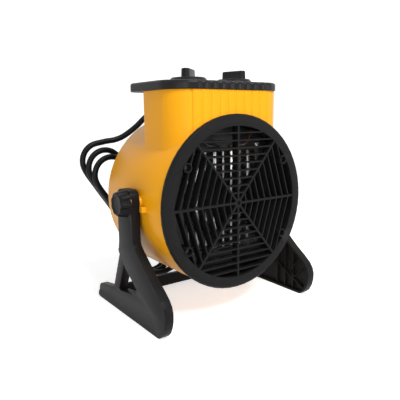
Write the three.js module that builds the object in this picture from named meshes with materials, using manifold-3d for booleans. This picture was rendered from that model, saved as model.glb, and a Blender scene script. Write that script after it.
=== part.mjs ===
// Ceramic fan heater: a round yellow head that tilts between two A-shaped black legs.
// Millimetres, +Z up, warm air leaves towards -Y. Origin: floor level, middle of the stand.
import * as THREE from "three";
import { ConvexGeometry } from "three/addons/geometries/ConvexGeometry.js";
import { mergeVertices } from "three/addons/utils/BufferGeometryUtils.js";
import Module from "manifold-3d";

const wasm = await Module();
wasm.setup();

// Driving dimensions
const barrelRadius = 98.3; // outside of the yellow barrel
const bezelRadius = barrelRadius + 1.7; // outside of the black front bezel
const barrelDepth = 133; // bezel plane to the barrel's rear edge
const barrelWall = 2.5;
const neckHalfWidth = 0.7833 * barrelRadius; // half the width of the control housing on top
const neckDepth = 73;
const neckTop = barrelRadius + 27.4; // barrel axis to the rim that the lid rests on
const pivotHeight = 136; // floor to the tilt axis
const pivotRise = 5; // tilt axis above the barrel axis
const pivotDepth = 53.5; // bezel plane to the tilt axis
const legToe = 72.2; // tilt axis to the front tip of a leg
const legHeel = 98.4; // tilt axis to the rear end of a leg
const legThickness = 10.4;
const cordDiameter = 7.8;
const cordRadius = cordDiameter / 2;

// Clearances, and counts of sides on round pieces
const gap = 0.3; // between pieces that touch or seat
const overrun = 1; // how far a cut or a weld runs past a surface
const mergeDistance = 0.0001;
const fullTurn = 2 * Math.PI;
const quarterTurn = Math.PI / 2;
const radians = THREE.MathUtils.degToRad;
const barrelSides = 56;
const roundSides = 24;
const smallSides = 10;
const postSides = 16;
const cornerSteps = 3;

// Materials
const plastic = (color, roughness = 0.5) =>
  new THREE.MeshStandardMaterial({ color, roughness, metalness: 0 });
const metal = (color, roughness = 0.35) =>
  new THREE.MeshStandardMaterial({ color, roughness, metalness: 1 });
const yellow = () => plastic(0xf2b705, 0.4);
const black = () => plastic(0x2b2a2c, 0.55);
const rubber = () => plastic(0x17181a, 0.5);
const aluminium = () => metal(0xb9bcbf, 0.4);
const steel = () => metal(0x8d8f92, 0.35);
const darkSteel = () => metal(0x3a3a3c, 0.5);
const brass = () => metal(0xb5974a, 0.35);

// Solids from closed meshes, and back to a geometry
function toSolid(geometry) {
  const bare = new THREE.BufferGeometry();
  bare.setAttribute("position", geometry.getAttribute("position").clone());
  if (geometry.index) bare.setIndex(geometry.index.clone());
  const merged = mergeVertices(bare, mergeDistance);
  const points = merged.getAttribute("position").array;
  const corners = [];
  let volume = 0;
  for (let i = 0; i < merged.index.count; i += 3) {
    const [a, b, c] = [0, 1, 2].map((n) => merged.index.getX(i + n));
    if (a === b || b === c || c === a) continue;
    corners.push(a, b, c);
    const [p, q, r] = [a, b, c].map((n) => new THREE.Vector3().fromArray(points, 3 * n));
    volume += p.dot(q.cross(r));
  }
  if (volume < 0) corners.reverse();
  const vertProperties = new Float32Array(points);
  const triVerts = new Uint32Array(corners);
  return new wasm.Manifold(new wasm.Mesh({ numProp: 3, vertProperties, triVerts }));
}

function toGeometry(solid) {
  const mesh = solid.getMesh();
  const geometry = new THREE.BufferGeometry();
  geometry.setAttribute("position", new THREE.BufferAttribute(mesh.vertProperties, 3));
  geometry.setIndex(new THREE.BufferAttribute(mesh.triVerts, 1));
  geometry.computeVertexNormals();
  return geometry;
}

const join = (...solids) => solids.reduce((sum, solid) => sum.add(solid));
const cut = (solid, ...tools) => tools.reduce((rest, tool) => rest.subtract(tool), solid);

// Outlines drawn from above, from the side (y, z) and from the front (x, z)
const axisX = new THREE.Vector3(1, 0, 0);
const axisY = new THREE.Vector3(0, 1, 0);
const axisZ = new THREE.Vector3(0, 0, 1);
const sideView = new THREE.Matrix4().makeBasis(axisY, axisZ, axisX);
const frontView = new THREE.Matrix4().makeBasis(axisX, axisZ, axisY.clone().negate());

function extruded(outline, depth, bevel = {}) {
  const settings = { depth, bevelEnabled: false, curveSegments: cornerSteps, ...bevel };
  return new THREE.ExtrudeGeometry(outline, settings);
}
const prismUp = (outline, bottom, top) =>
  toSolid(extruded(outline, top - bottom).translate(0, 0, bottom));
const prismAcross = (outline, left, right) =>
  toSolid(extruded(outline, right - left).applyMatrix4(sideView).translate(left, 0, 0));
const prismBack = (outline, front, rear) =>
  toSolid(extruded(outline, rear - front).applyMatrix4(frontView).translate(0, rear, 0));

function block(x0, x1, y0, y1, z0, z1) {
  const box = new THREE.BoxGeometry(x1 - x0, y1 - y0, z1 - z0);
  return toSolid(box.translate((x0 + x1) / 2, (y0 + y1) / 2, (z0 + z1) / 2));
}

// Round bars that run back, up or across
const cylinder = (radius, length, sides) => new THREE.CylinderGeometry(radius, radius, length, sides);
const rodBack = (radius, front, rear, x = 0, z = 0, sides = roundSides) =>
  toSolid(cylinder(radius, rear - front, sides).translate(x, (front + rear) / 2, z));
const rodUp = (radius, bottom, top, x = 0, y = 0, sides = roundSides) =>
  toSolid(cylinder(radius, top - bottom, sides).rotateX(quarterTurn)
    .translate(x, y, (bottom + top) / 2));
const rodAcross = (radius, left, right, y = 0, z = 0, sides = roundSides) =>
  toSolid(cylinder(radius, right - left, sides).rotateZ(-quarterTurn)
    .translate((left + right) / 2, y, z));

// Turned pieces: a profile holds [radius, place along the axis] pairs
const turned = (profile, turnSides) =>
  new THREE.LatheGeometry(profile.map(([r, h]) => new THREE.Vector2(r, h)), turnSides);
const turnedBack = (profile, turnSides = roundSides) => toSolid(turned(profile, turnSides));
const turnedUp = (profile, turnSides = roundSides) =>
  toSolid(turned(profile, turnSides).rotateX(quarterTurn));
const turnedAcross = (profile, turnSides = roundSides) =>
  toSolid(turned(profile, turnSides).rotateZ(-quarterTurn));
const ring = (profile) => [...profile, profile[0]];

const polygon = (points) => new THREE.Shape(points.map(([x, y]) => new THREE.Vector2(x, y)));

// A rectangle with one radius at its front corners and another at its rear corners
function roundedPlan(halfWidth, front, rear, frontRadius, rearRadius) {
  const shape = new THREE.Shape();
  shape.absarc(halfWidth - frontRadius, front + frontRadius, frontRadius, -quarterTurn, 0);
  shape.absarc(halfWidth - rearRadius, rear - rearRadius, rearRadius, 0, quarterTurn);
  shape.absarc(rearRadius - halfWidth, rear - rearRadius, rearRadius, quarterTurn, 2 * quarterTurn);
  shape.absarc(frontRadius - halfWidth, front + frontRadius, frontRadius, 2 * quarterTurn, 3 * quarterTurn);
  return shape;
}

// A bar with round ends, its length along x
function roundedBar(length, width) {
  const shape = new THREE.Shape();
  const middle = length / 2 - width / 2;
  shape.absarc(middle, 0, width / 2, -quarterTurn, quarterTurn);
  shape.absarc(-middle, 0, width / 2, quarterTurn, 3 * quarterTurn);
  return shape;
}

// Where two lines meet, each given by a point and a direction
function meet([p, d], [q, e]) {
  const along = ((q[0] - p[0]) * e[1] - (q[1] - p[1]) * e[0]) / (d[0] * e[1] - d[1] * e[0]);
  return [p[0] + along * d[0], p[1] + along * d[1]];
}

// A polygon drawn anticlockwise with each edge moved inwards by its own distance
function inset(points, distances) {
  const edges = points.map((a, i) => {
    const b = points[(i + 1) % points.length];
    const length = Math.hypot(b[0] - a[0], b[1] - a[1]);
    const d = [(b[0] - a[0]) / length, (b[1] - a[1]) / length];
    const move = Array.isArray(distances) ? distances[i] : distances;
    return [[a[0] - d[1] * move, a[1] + d[0] * move], d];
  });
  return edges.map((edge, i) => meet(edges[(i + edges.length - 1) % edges.length], edge));
}

// Tubes along a curve
function circle(radius, circleSides) {
  const angles = Array.from({ length: circleSides }, (_, i) => (fullTurn * i) / circleSides);
  return polygon(angles.map((angle) => [radius * Math.cos(angle), radius * Math.sin(angle)]));
}
function tube(curve, radius, tubeSides, steps) {
  const settings = { steps, extrudePath: curve, bevelEnabled: false };
  return toSolid(new THREE.ExtrudeGeometry(circle(radius, tubeSides), settings));
}
const smoothThrough = (points) => new THREE.CatmullRomCurve3(points, false, "centripetal");

// The scene graph: the stand on the floor, and the head on its tilt axis
const heater = new THREE.Group();
const stand = new THREE.Group();
const head = new THREE.Group();
const pivotY = (legToe - legHeel) / 2;
const headPlace = new THREE.Vector3(0, pivotY - pivotDepth, pivotHeight - pivotRise);
head.position.copy(headPlace);
heater.add(stand, head);

function addNode(parent, name, solid, material) {
  const mesh = new THREE.Mesh(toGeometry(solid), material);
  mesh.name = name;
  parent.add(mesh);
  return mesh;
}
const sideNames = [["left", -1], ["right", 1]];
const flipped = (solid, x, z) => toSolid(toGeometry(solid).scale(x, 1, z));
const mirrored = (solid, side) => (side > 0 ? solid : flipped(solid, side, 1));

// Front bezel with its web grille, moulded in one
const boreRadius = barrelRadius - barrelWall;
const bezelInner = barrelRadius - 11.4;
const bezelFace = -1.5; // the face's inner edge stands this far in front of its outer edge
const bezelShoulder = 0.9; // rounding of the outer edge
const bezelRim = 3.5; // how far the outer rim wraps back
const bezelSkin = 3.1;
const skirtWall = 2.2;
const skirtRear = 9;
const bossX = 0.7009 * barrelRadius;
const bossZ = 0.4588 * barrelRadius;
const bossPlaces = [[-1, 1], [1, 1], [-1, -1], [1, -1]].map(([x, z]) => [x * bossX, z * bossZ]);
const bossRadius = 5.3;
const bossProud = 0.8;
const bossRear = 10.7;
const bossRecessRadius = 4;
const bossRecess = 5.5;
const screwRadius = 1.6;
const screwHole = screwRadius + gap;
const screwHeadRadius = 3.4;
const screwHeadHeight = 2.2;
const spokeWidth = 2.4;
const rungWidth = 1.5;
const webFront = bezelFace + gap;
const webRear = 8.6;
const spokeLean = radians(39.1); // slanted spokes, from upright
const firstRungUp = 11.5;
const rungStepUp = 8.44;
const firstRungAside = 11.9;
const rungStepAside = 9.7;
const rungsAbove = 9;
const rungsAside = 8;
const hubRadius = 5.2;
const hubDimpleRadius = 2.8;
const hubDimple = 2;

const bezelSkinRear = bezelFace + bezelSkin;
const skirtRadius = boreRadius - gap;
const bezelProfile = ring([
  [bezelInner, bezelFace],
  [bezelRadius - 2 * bezelShoulder, bezelFace + bezelShoulder / 2],
  [bezelRadius, bezelShoulder],
  [bezelRadius, bezelRim],
  [skirtRadius, bezelRim],
  [skirtRadius, skirtRear],
  [skirtRadius - skirtWall, skirtRear],
  [skirtRadius - skirtWall, bezelSkinRear],
  [bezelInner + skirtWall, bezelSkinRear],
  [bezelInner + skirtWall, skirtRear],
  [bezelInner, skirtRear],
]);

// Rung k crosses the upright spoke, a slanted spoke and the level spoke at these places
const rungUp = (k) => (k === 0 ? 0 : firstRungUp + (k - 1) * rungStepUp);
const rungAside = (k) => (k === 0 ? 0 : firstRungAside + (k - 1) * rungStepAside);
const rungSlant = (k) => [rungUp(k) * Math.tan(spokeLean), rungUp(k)];

// The open cells of one quarter: under the flat rungs, and beside the slanted ones
function quarterCells() {
  const cells = [];
  const wall = (k, last) => (k === last ? -overrun : rungWidth / 2);
  for (let k = 0; k <= rungsAbove; k += 1) {
    const [low, high] = [rungSlant(k), rungSlant(k + 1)];
    const inner = k === 0 ? [] : [[0, low[1]]];
    const walls = k === 0 ? [] : [rungWidth / 2];
    cells.push(inset([...inner, low, high, [0, high[1]]],
      [...walls, spokeWidth / 2, wall(k, rungsAbove), spokeWidth / 2]));
  }
  for (let k = 0; k <= rungsAside; k += 1) {
    const [low, high] = [rungSlant(k), rungSlant(k + 1)];
    const inner = k === 0 ? [] : [low];
    const walls = k === 0 ? [] : [rungWidth / 2];
    const level = k === 0 ? [low] : [[rungAside(k), 0]];
    cells.push(inset([...level, [rungAside(k + 1), 0], high, ...inner],
      [spokeWidth / 2, wall(k, rungsAside), spokeWidth / 2, ...walls]));
  }
  return cells;
}

function webCutter(front, rear) {
  let quarter = null;
  for (const cell of quarterCells()) {
    const hole = prismBack(polygon(cell), front - overrun, rear + overrun);
    quarter = quarter ? quarter.add(hole) : hole;
  }
  const half = quarter.add(flipped(quarter, -1, 1));
  return half.add(flipped(half, 1, -1));
}

function frontGrille() {
  const [before, behind] = [webFront - 2 * overrun, webRear + 2 * overrun];
  const opening = rodBack(bezelInner, before, behind, 0, 0, barrelSides);
  const kept = [rodBack(hubRadius, before, behind, 0, 0, smallSides)];
  for (const [x, z] of bossPlaces) kept.push(rodBack(bossRadius, before, behind, x, z, postSides));
  const cells = cut(webCutter(webFront, webRear).intersect(opening), ...kept);
  const web = cut(rodBack(bezelInner + skirtWall / 2, webFront, webRear, 0, 0, barrelSides), cells);
  const bosses = bossPlaces.map(([x, z]) =>
    rodBack(bossRadius, bezelFace - bossProud, bossRear, x, z, postSides));
  const recesses = bossPlaces.flatMap(([x, z]) => [
    rodBack(bossRecessRadius, bezelFace - bossProud - overrun, bezelFace + bossRecess, x, z, smallSides),
    rodBack(screwHole, bezelFace, bossRear + overrun, x, z, smallSides),
  ]);
  const dimple = rodBack(hubDimpleRadius, webFront - overrun, webFront + hubDimple, 0, 0, smallSides);
  return cut(join(turnedBack(bezelProfile, barrelSides), web, ...bosses), ...recesses, dimple);
}
addNode(head, "front_grille", frontGrille(), black());

// Main housing: barrel, control neck, pivot bosses and the posts inside
const barrelFront = bezelRim + gap;
const neckSetback = 0.4; // neck's front behind the barrel's front edge
const neckFront = barrelFront + neckSetback;
const neckRear = neckFront + neckDepth;
const neckFrontRadius = 33;
const neckRearRadius = 5;
const neckRootShare = 0.3; // the neck's sides reach down into the barrel
const fluteCount = 11; // the outer ones lie on the rounded corners
const flutePitch = 11.5;
const fluteRadius = 2.4;
const fluteDepth = 1.2;
const postRadius = 5;
const postLength = 17;
const postRib = 4;
const pilotRadius = screwRadius + gap;
const pilotLength = 14;
const ledgeHeight = 3.3;
const ledgeDepth = 3;
const coreFront = 26; // front of the heating core
const coreFrameDepth = 18.4;
const shieldThickness = 1;
const rearPostRadius = 4.5;
const rearPostLength = 15;
const rearPostPlace = barrelRadius - 10.3;
const rearPostAngles = [90, 210, 330].map(radians);
const coverInset = 3; // rear cover's outer face inside the barrel's edge
const coverThickness = 2.5;
const pivotBossRadius = 7.2;
const pivotBossOut = 2; // how far a pivot boss stands out of the barrel
const pivotBossIn = 8; // and how far it reaches inside
const insertRadius = 5.5;
const stopOut = 5.4; // how far the tilt stop before the leg stands out of the barrel
const stopFront = 17; // front face of the tilt stop before the tilt axis
const stopRear = 11.5;
const stopHeight = 6;
const stopDrop = 6.4; // middle of the tilt stop below the tilt axis
const glandX = -5;
const glandZ = barrelRadius + 11.2;
const glandShank = 7.7;
const wireHoleRadius = 5;
const wireHoleX = 38;
const wireHoleY = 21.5;
const terminalHalfLength = 17;
const terminalFront = 51;
const terminalDepth = 18;
const terminalHeight = 12.5;
const terminalSeatTop = barrelRadius + 4.7;

const shieldFront = coreFront + coreFrameDepth + gap;
const ledgeFront = shieldFront + shieldThickness + gap;
const coverRear = barrelDepth - coverInset;
const coverFront = coverRear - coverThickness;
const pivotBossFace = barrelRadius + pivotBossOut;
const barrelSolid = () => rodBack(barrelRadius, barrelFront, barrelDepth, 0, 0, barrelSides);
const neckPlan = (shrink) => roundedPlan(neckHalfWidth - shrink, neckFront + shrink, neckRear - shrink,
  neckFrontRadius - shrink, neckRearRadius - shrink);

// Grooves down the front of the neck and of the lid, evenly spaced along the plan's outline
function flutes(front, cornerRadius, bottom, top) {
  const flatHalf = neckHalfWidth - neckFrontRadius;
  const reach = cornerRadius + fluteRadius - fluteDepth;
  const groove = (i) => {
    const along = (i - (fluteCount - 1) / 2) * flutePitch;
    const flat = Math.max(-flatHalf, Math.min(flatHalf, along));
    const turn = (along - flat) / cornerRadius;
    return rodUp(fluteRadius, bottom, top, flat + reach * Math.sin(turn),
      front + cornerRadius - reach * Math.cos(turn), smallSides);
  };
  return Array.from({ length: fluteCount }, (_, i) => groove(i));
}

// A rib that runs outwards from the barrel's axis
function radialRib(inner, outer, width, front, rear, angle) {
  const box = new THREE.BoxGeometry(outer - inner, rear - front, width);
  return toSolid(box.translate((inner + outer) / 2, (front + rear) / 2, 0).rotateY(-angle));
}

function housing() {
  const neckRoot = neckRootShare * barrelRadius;
  const cavity = cut(prismUp(neckPlan(barrelWall), neckRoot, neckTop + overrun), barrelSolid());
  const bore = rodBack(boreRadius, barrelFront - overrun, barrelDepth + overrun, 0, 0, barrelSides);
  const neckFlutes = flutes(neckFront, neckFrontRadius, neckRoot, neckTop + overrun);
  const neck = cut(prismUp(neckPlan(0), neckRoot, neckTop), ...neckFlutes);
  const weld = boreRadius + overrun;
  const added = [];
  const drilled = [];
  for (const [x, z] of bossPlaces) {
    const front = bossRear + gap;
    added.push(rodBack(postRadius, front, front + postLength, x, z, smallSides));
    const ribInner = Math.hypot(x, z) + overrun;
    added.push(radialRib(ribInner, weld, postRib, front, front + postLength, Math.atan2(z, x)));
    drilled.push(rodBack(pilotRadius, front - overrun, front + pilotLength, x, z, smallSides));
  }
  for (const angle of rearPostAngles) {
    const rear = coverFront - gap;
    const [x, z] = [rearPostPlace * Math.cos(angle), rearPostPlace * Math.sin(angle)];
    added.push(rodBack(rearPostRadius, rear - rearPostLength, rear, x, z, smallSides));
    added.push(radialRib(rearPostPlace + overrun, weld, postRib, rear - rearPostLength, rear, angle));
    drilled.push(rodBack(pilotRadius, rear - rearPostLength + overrun, rear + overrun, x, z, smallSides));
  }
  added.push(turnedBack(ring([
    [weld, ledgeFront],
    [weld, ledgeFront + ledgeDepth],
    [boreRadius - ledgeHeight, ledgeFront + ledgeDepth],
    [boreRadius - ledgeHeight, ledgeFront],
  ]), barrelSides));
  for (const [, side] of sideNames) {
    const inner = barrelRadius - pivotBossIn;
    const stopMiddle = pivotRise - stopDrop;
    added.push(mirrored(rodAcross(pivotBossRadius, inner, pivotBossFace, pivotDepth, pivotRise), side));
    added.push(mirrored(block(barrelRadius - overrun, barrelRadius + stopOut, pivotDepth - stopFront,
      pivotDepth - stopRear, stopMiddle - stopHeight / 2, stopMiddle + stopHeight / 2), side));
    drilled.push(mirrored(rodAcross(insertRadius + gap, inner - overrun, pivotBossFace + overrun,
      pivotDepth, pivotRise), side));
    drilled.push(rodUp(wireHoleRadius, boreRadius * Math.cos(quarterTurn / 2), neckTop,
      side * wireHoleX, wireHoleY, smallSides));
  }
  const seatBottom = boreRadius + gap;
  added.push(block(-terminalHalfLength, terminalHalfLength, terminalFront, terminalFront + terminalDepth,
    seatBottom, terminalSeatTop));
  drilled.push(rodBack(glandShank + gap, neckRear - barrelWall - overrun, neckRear + overrun, glandX, glandZ));
  return cut(join(cut(barrelSolid().add(neck), cavity, bore), ...added), ...drilled);
}
addNode(head, "main_housing", housing(), yellow());

// Screws: a domed head on a plain shank, the point to the rear or to the front
function screw(headFront, length, side = 1) {
  const crown = screwHeadHeight / 2;
  const profile = [
    [0, 0],
    [screwHeadRadius - crown, 0],
    [screwHeadRadius, crown],
    [screwHeadRadius, screwHeadHeight],
    [screwRadius, screwHeadHeight],
    [screwRadius, length - screwRadius],
    [0, length],
  ];
  return turnedBack(profile.map(([r, along]) => [r, headFront + side * along]), smallSides);
}
const grilleScrewLength = 17;
const grilleScrewHead = bezelFace + bossRecess - gap - screwHeadHeight;
bossPlaces.forEach(([x, z], i) => {
  const mesh = addNode(head, `grille_screw_${i + 1}`, screw(grilleScrewHead, grilleScrewLength), steel());
  mesh.position.set(x, 0, z);
});

// Rear cover: a slotted intake inside the rear of the barrel
const coverSkirt = 6;
const slotPitch = 12;
const slotHeight = 6.5;
const slotRows = 11;
const slotField = barrelRadius - 20.3; // radius of the slotted area
const slotRib = 4;
function rearCover() {
  const radius = boreRadius - gap;
  const plate = turnedBack([
    [0, coverFront],
    [radius - skirtWall, coverFront],
    [radius - skirtWall, coverFront - coverSkirt],
    [radius, coverFront - coverSkirt],
    [radius, coverRear],
    [0, coverRear],
  ], barrelSides);
  const field = rodBack(slotField, coverFront - overrun, coverRear + overrun, 0, 0, barrelSides);
  let slots = null;
  for (let i = 0; i < slotRows; i += 1) {
    const z = (i - (slotRows - 1) / 2) * slotPitch;
    const slot = block(-slotField, slotField, coverFront - overrun, coverRear + overrun,
      z - slotHeight / 2, z + slotHeight / 2);
    slots = slots ? slots.add(slot) : slot;
  }
  const spine = block(-slotRib / 2, slotRib / 2, coverFront - overrun, coverRear + overrun,
    -slotField, slotField);
  const notches = rearPostAngles.flatMap((angle) => {
    const [x, z] = [rearPostPlace * Math.cos(angle), rearPostPlace * Math.sin(angle)];
    return [
      rodBack(screwHole, coverFront - overrun, coverRear + overrun, x, z, smallSides),
      rodBack(rearPostRadius + gap, coverFront - coverSkirt - overrun, coverFront - gap, x, z),
      radialRib(rearPostPlace, barrelRadius, postRib + 2 * gap, coverFront - coverSkirt - overrun,
        coverFront - gap, angle),
    ];
  });
  return cut(plate, cut(slots.intersect(field), spine), ...notches);
}
addNode(head, "rear_cover", rearCover(), black());
const coverScrewLength = 14;
rearPostAngles.forEach((angle, i) => {
  const solid = screw(coverRear + gap + screwHeadHeight, coverScrewLength, -1);
  const mesh = addNode(head, `cover_screw_${i + 1}`, solid, steel());
  mesh.position.set(rearPostPlace * Math.cos(angle), 0, rearPostPlace * Math.sin(angle));
});

// Lid: follows the neck's plan, and reaches back as the carrying grip
const lidOverhang = 1.6;
const lidHeight = 10.3;
const lidRear = 112;
const lidRearRadius = 14;
const lidTopWall = 2.8;
const lidEdge = 2.2; // rounding of the top edge
const lidEdgeSteps = 2;
const lidSeat = 2; // width of the rim that rests on the neck's wall
const gripWall = 3.2;
const knobX = 33;
const knobY = 48;
const spindleRadius = 3;
const lidBottom = neckTop + gap;
const lidTop = lidBottom + lidHeight;
const lidCeiling = lidTop - lidTopWall;
const lidHalfWidth = neckHalfWidth + lidOverhang;
const lidFront = neckFront - lidOverhang;

function lidOutline(shrink) {
  return roundedPlan(lidHalfWidth - shrink, lidFront + shrink, lidRear - shrink,
    neckFrontRadius + lidOverhang - shrink, lidRearRadius - shrink);
}

function topLid() {
  const bevel = {
    bevelEnabled: true,
    bevelThickness: lidEdge,
    bevelSize: lidEdge,
    bevelSegments: lidEdgeSteps,
  };
  const cap = toSolid(extruded(lidOutline(lidEdge), lidHeight, bevel).translate(0, 0, lidBottom - lidEdge));
  const below = block(-2 * lidHalfWidth, 2 * lidHalfWidth, -lidRear, 2 * lidRear, 0, lidBottom);
  const overNeck = prismUp(neckPlan(barrelWall + lidSeat), lidBottom - overrun, lidCeiling);
  const gripHalf = lidHalfWidth - gripWall;
  const underGrip = prismUp(roundedPlan(gripHalf, neckRear + gripWall, lidRear - gripWall,
    neckRearRadius, lidRearRadius - gripWall), lidBottom - overrun, lidCeiling);
  const holes = sideNames.map(([, side]) =>
    rodUp(spindleRadius + gap, lidCeiling - overrun, lidTop + overrun, side * knobX, knobY, smallSides));
  const cornerRadius = neckFrontRadius + lidOverhang;
  const grooves = flutes(lidFront, cornerRadius, lidBottom - overrun, lidTop + overrun);
  return cut(cap, below, overNeck, underGrip, ...holes, ...grooves);
}
addNode(head, "top_lid", topLid(), black());

// Rotary controls: a knob on top, its spindle, and the switch or thermostat below the lid
const knobFootRadius = 22.5;
const knobTopRadius = 19.7;
const knobFootHeight = 1.4;
const knobDiscHeight = 4.6;
const knobHeight = 14;
const bladeLength = 33;
const bladeWidth = 8.6;
const spindleTop = 9.5; // above the lid
const spindleInBody = 7;
const thermostatTurn = radians(40); // the grip's direction from +X
const selectorTurn = radians(-74);
const thermostatHalfWidth = 14.5;
const thermostatHalfDepth = 12;
const thermostatHeight = 19;
const selectorRadius = 14;
const selectorHeight = 17;
const controlTop = lidCeiling - gap;

function controlKnob() {
  const foot = lidTop + gap;
  const disc = turnedUp([
    [0, foot],
    [knobFootRadius, foot],
    [knobFootRadius, foot + knobFootHeight],
    [knobTopRadius, foot + knobDiscHeight],
    [0, foot + knobDiscHeight],
  ], 2 * roundSides);
  const blade = prismUp(roundedBar(bladeLength, bladeWidth), foot + knobFootHeight, foot + knobHeight);
  const bore = rodUp(spindleRadius + gap, foot - overrun, lidTop + spindleTop + gap, 0, 0, smallSides);
  return cut(disc.add(blade), bore);
}
const spindle = () => rodUp(spindleRadius, controlTop - spindleInBody, lidTop + spindleTop, 0, 0, smallSides);
const spindleWell = () => rodUp(spindleRadius + gap, controlTop - spindleInBody - gap, controlTop + overrun,
  0, 0, smallSides);
const thermostatBody = () => cut(block(-thermostatHalfWidth, thermostatHalfWidth, -thermostatHalfDepth,
  thermostatHalfDepth, controlTop - thermostatHeight, controlTop), spindleWell());
const selectorBody = () => cut(rodUp(selectorRadius, controlTop - selectorHeight, controlTop), spindleWell());

function addControl(name, side, turn, body) {
  const place = new THREE.Group();
  place.position.set(side * knobX, knobY, 0);
  head.add(place);
  addNode(place, `${name}_knob`, controlKnob(), black()).rotation.z = turn;
  addNode(place, `${name}_spindle`, spindle(), steel());
  addNode(place, `${name}_body`, body, plastic(0xd9d4c8));
}
addControl("thermostat", -1, thermostatTurn, thermostatBody());
addControl("selector", 1, selectorTurn, selectorBody());

// Terminal block on its seat above the barrel
addNode(head, "terminal_block", block(-terminalHalfLength, terminalHalfLength, terminalFront,
  terminalFront + terminalDepth, terminalSeatTop + gap, terminalSeatTop + terminalHeight), plastic(0xe6e2d6));

// Heating core: ceramic bars in aluminium tubes, with a folded fin row on each side of a bar
const barCount = 4;
const barPitch = 0.2584 * barrelRadius;
const barWidth = 4.4;
const coreHalfHeight = 0.5829 * barrelRadius;
const finFolds = 14;
const finSheet = 0.7;
const finStrip = 0.8;
const finInset = 0.8; // fins start behind the frame's front face
const frameWall = 3.3;
const frameRail = 11.2;
const coreHalfWidth = (barCount / 2) * barPitch + gap;
const coreRear = coreFront + coreFrameDepth;
const coreScrewX = 0.5137 * barrelRadius;
const coreScrewZ = coreHalfHeight + frameRail / 2 + bossProud;
const coreScrewHeight = 17;
const baffleFront = bossRear + postLength + 3 * gap;
const baffleThickness = 1.5;

// The core's frame, with a thin disc round it that fills the barrel
function heaterFrame() {
  const [w, h] = [coreHalfWidth + frameWall, coreHalfHeight + frameRail];
  const baffle = rodBack(boreRadius - gap, baffleFront, baffleFront + baffleThickness, 0, 0, barrelSides);
  const outer = block(-w, w, coreFront, coreRear, -h, h).add(baffle);
  const window = block(-coreHalfWidth, coreHalfWidth, coreFront - overrun, coreRear + overrun,
    -coreHalfHeight, coreHalfHeight);
  const holes = sideNames.map(([, side]) =>
    rodBack(screwHole, coreFront - overrun, coreRear + overrun, side * coreScrewX, coreScrewZ, smallSides));
  return cut(outer, window, ...holes);
}
addNode(head, "heater_frame", heaterFrame(), plastic(0x1f1d1c));
for (const [name, side] of sideNames) {
  const solid = screw(coreFront - gap - screwHeadHeight, coreScrewHeight);
  const mesh = addNode(head, `core_screw_${name}`, solid, steel());
  mesh.position.set(side * coreScrewX, 0, coreScrewZ);
}

const barHalfHeight = coreHalfHeight - gap;
const barX = (i) => (i - (barCount - 1) / 2) * barPitch;
for (let i = 0; i < barCount; i += 1) {
  const solid = block(barX(i) - barWidth / 2, barX(i) + barWidth / 2, coreFront + gap, coreRear - gap,
    -barHalfHeight, barHalfHeight);
  addNode(head, `ceramic_bar_${i + 1}`, solid, aluminium());
}

// One fin row: a sheet folded between the bar and a backing strip
function finRow(side) {
  const near = barWidth / 2 + gap;
  const far = barPitch / 2 - gap / 2;
  const foldStep = (2 * barHalfHeight - 2 * finSheet) / finFolds;
  const middle = Array.from({ length: finFolds + 1 }, (_, i) =>
    [i % 2 ? near : far - finStrip / 2, finSheet - barHalfHeight + i * foldStep]);
  const [front, rear] = [coreFront + finInset, coreRear - finInset];
  const fold = join(...middle.slice(1).map(([x, z], i) => {
    const [fromX, fromZ] = middle[i];
    return prismBack(polygon([[fromX, fromZ - finSheet / 2], [x, z - finSheet / 2],
      [x, z + finSheet / 2], [fromX, fromZ + finSheet / 2]]), front, rear);
  }));
  const strip = block(far - finStrip, far, front, rear, -barHalfHeight, barHalfHeight);
  return mirrored(fold.add(strip), side);
}
for (let i = 0; i < barCount; i += 1) {
  sideNames.forEach(([, side], j) => {
    addNode(head, `fin_row_${2 * i + j + 1}`, finRow(side), aluminium()).position.x = barX(i);
  });
}

// Heat shield behind the core, with the overheat cutout on it
const shieldMargin = 1;
const cutoutRadius = 8;
const cutoutHeight = 6.5;
const cutoutX = -22;
const cutoutZ = barrelRadius - 17.3;
function heatShield() {
  const plate = rodBack(boreRadius - gap, shieldFront, shieldFront + shieldThickness, 0, 0, barrelSides);
  const window = block(-coreHalfWidth - shieldMargin, coreHalfWidth + shieldMargin, shieldFront - overrun,
    shieldFront + shieldThickness + overrun, -coreHalfHeight - shieldMargin, coreHalfHeight + shieldMargin);
  return cut(plate, window);
}
addNode(head, "heat_shield", heatShield(), darkSteel());
addNode(head, "thermal_cutout",
  rodBack(cutoutRadius, shieldFront - gap - cutoutHeight, shieldFront - gap, cutoutX, cutoutZ,
    smallSides), steel());

// Fan, its motor and the bracket that carries the motor
const fanSetback = 6;
const fanFront = ledgeFront + ledgeDepth + fanSetback;
const fanDepth = 0.15 * barrelDepth;
const fanHubRadius = 18;
const fanTipRadius = barrelRadius - 10.3;
const bladeCount = 7;
const bladeChord = 29;
const bladeThickness = 2;
const bladePitch = radians(53);
const shaftRadius = 3;
const bracketBehindFan = 6;
const bracketThickness = 2;
const bracketArm = 30;
const motorHalf = 28;
const motorStack = 0.135 * barrelDepth;
const motorBell = 16;
const motorLength = 0.165 * barrelDepth;
const shaftTail = 3;
const fanRear = fanFront + fanDepth;
const bracketFront = fanRear + bracketBehindFan;
const motorFront = bracketFront + bracketThickness + gap;
const motorRear = motorFront + motorLength;

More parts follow.
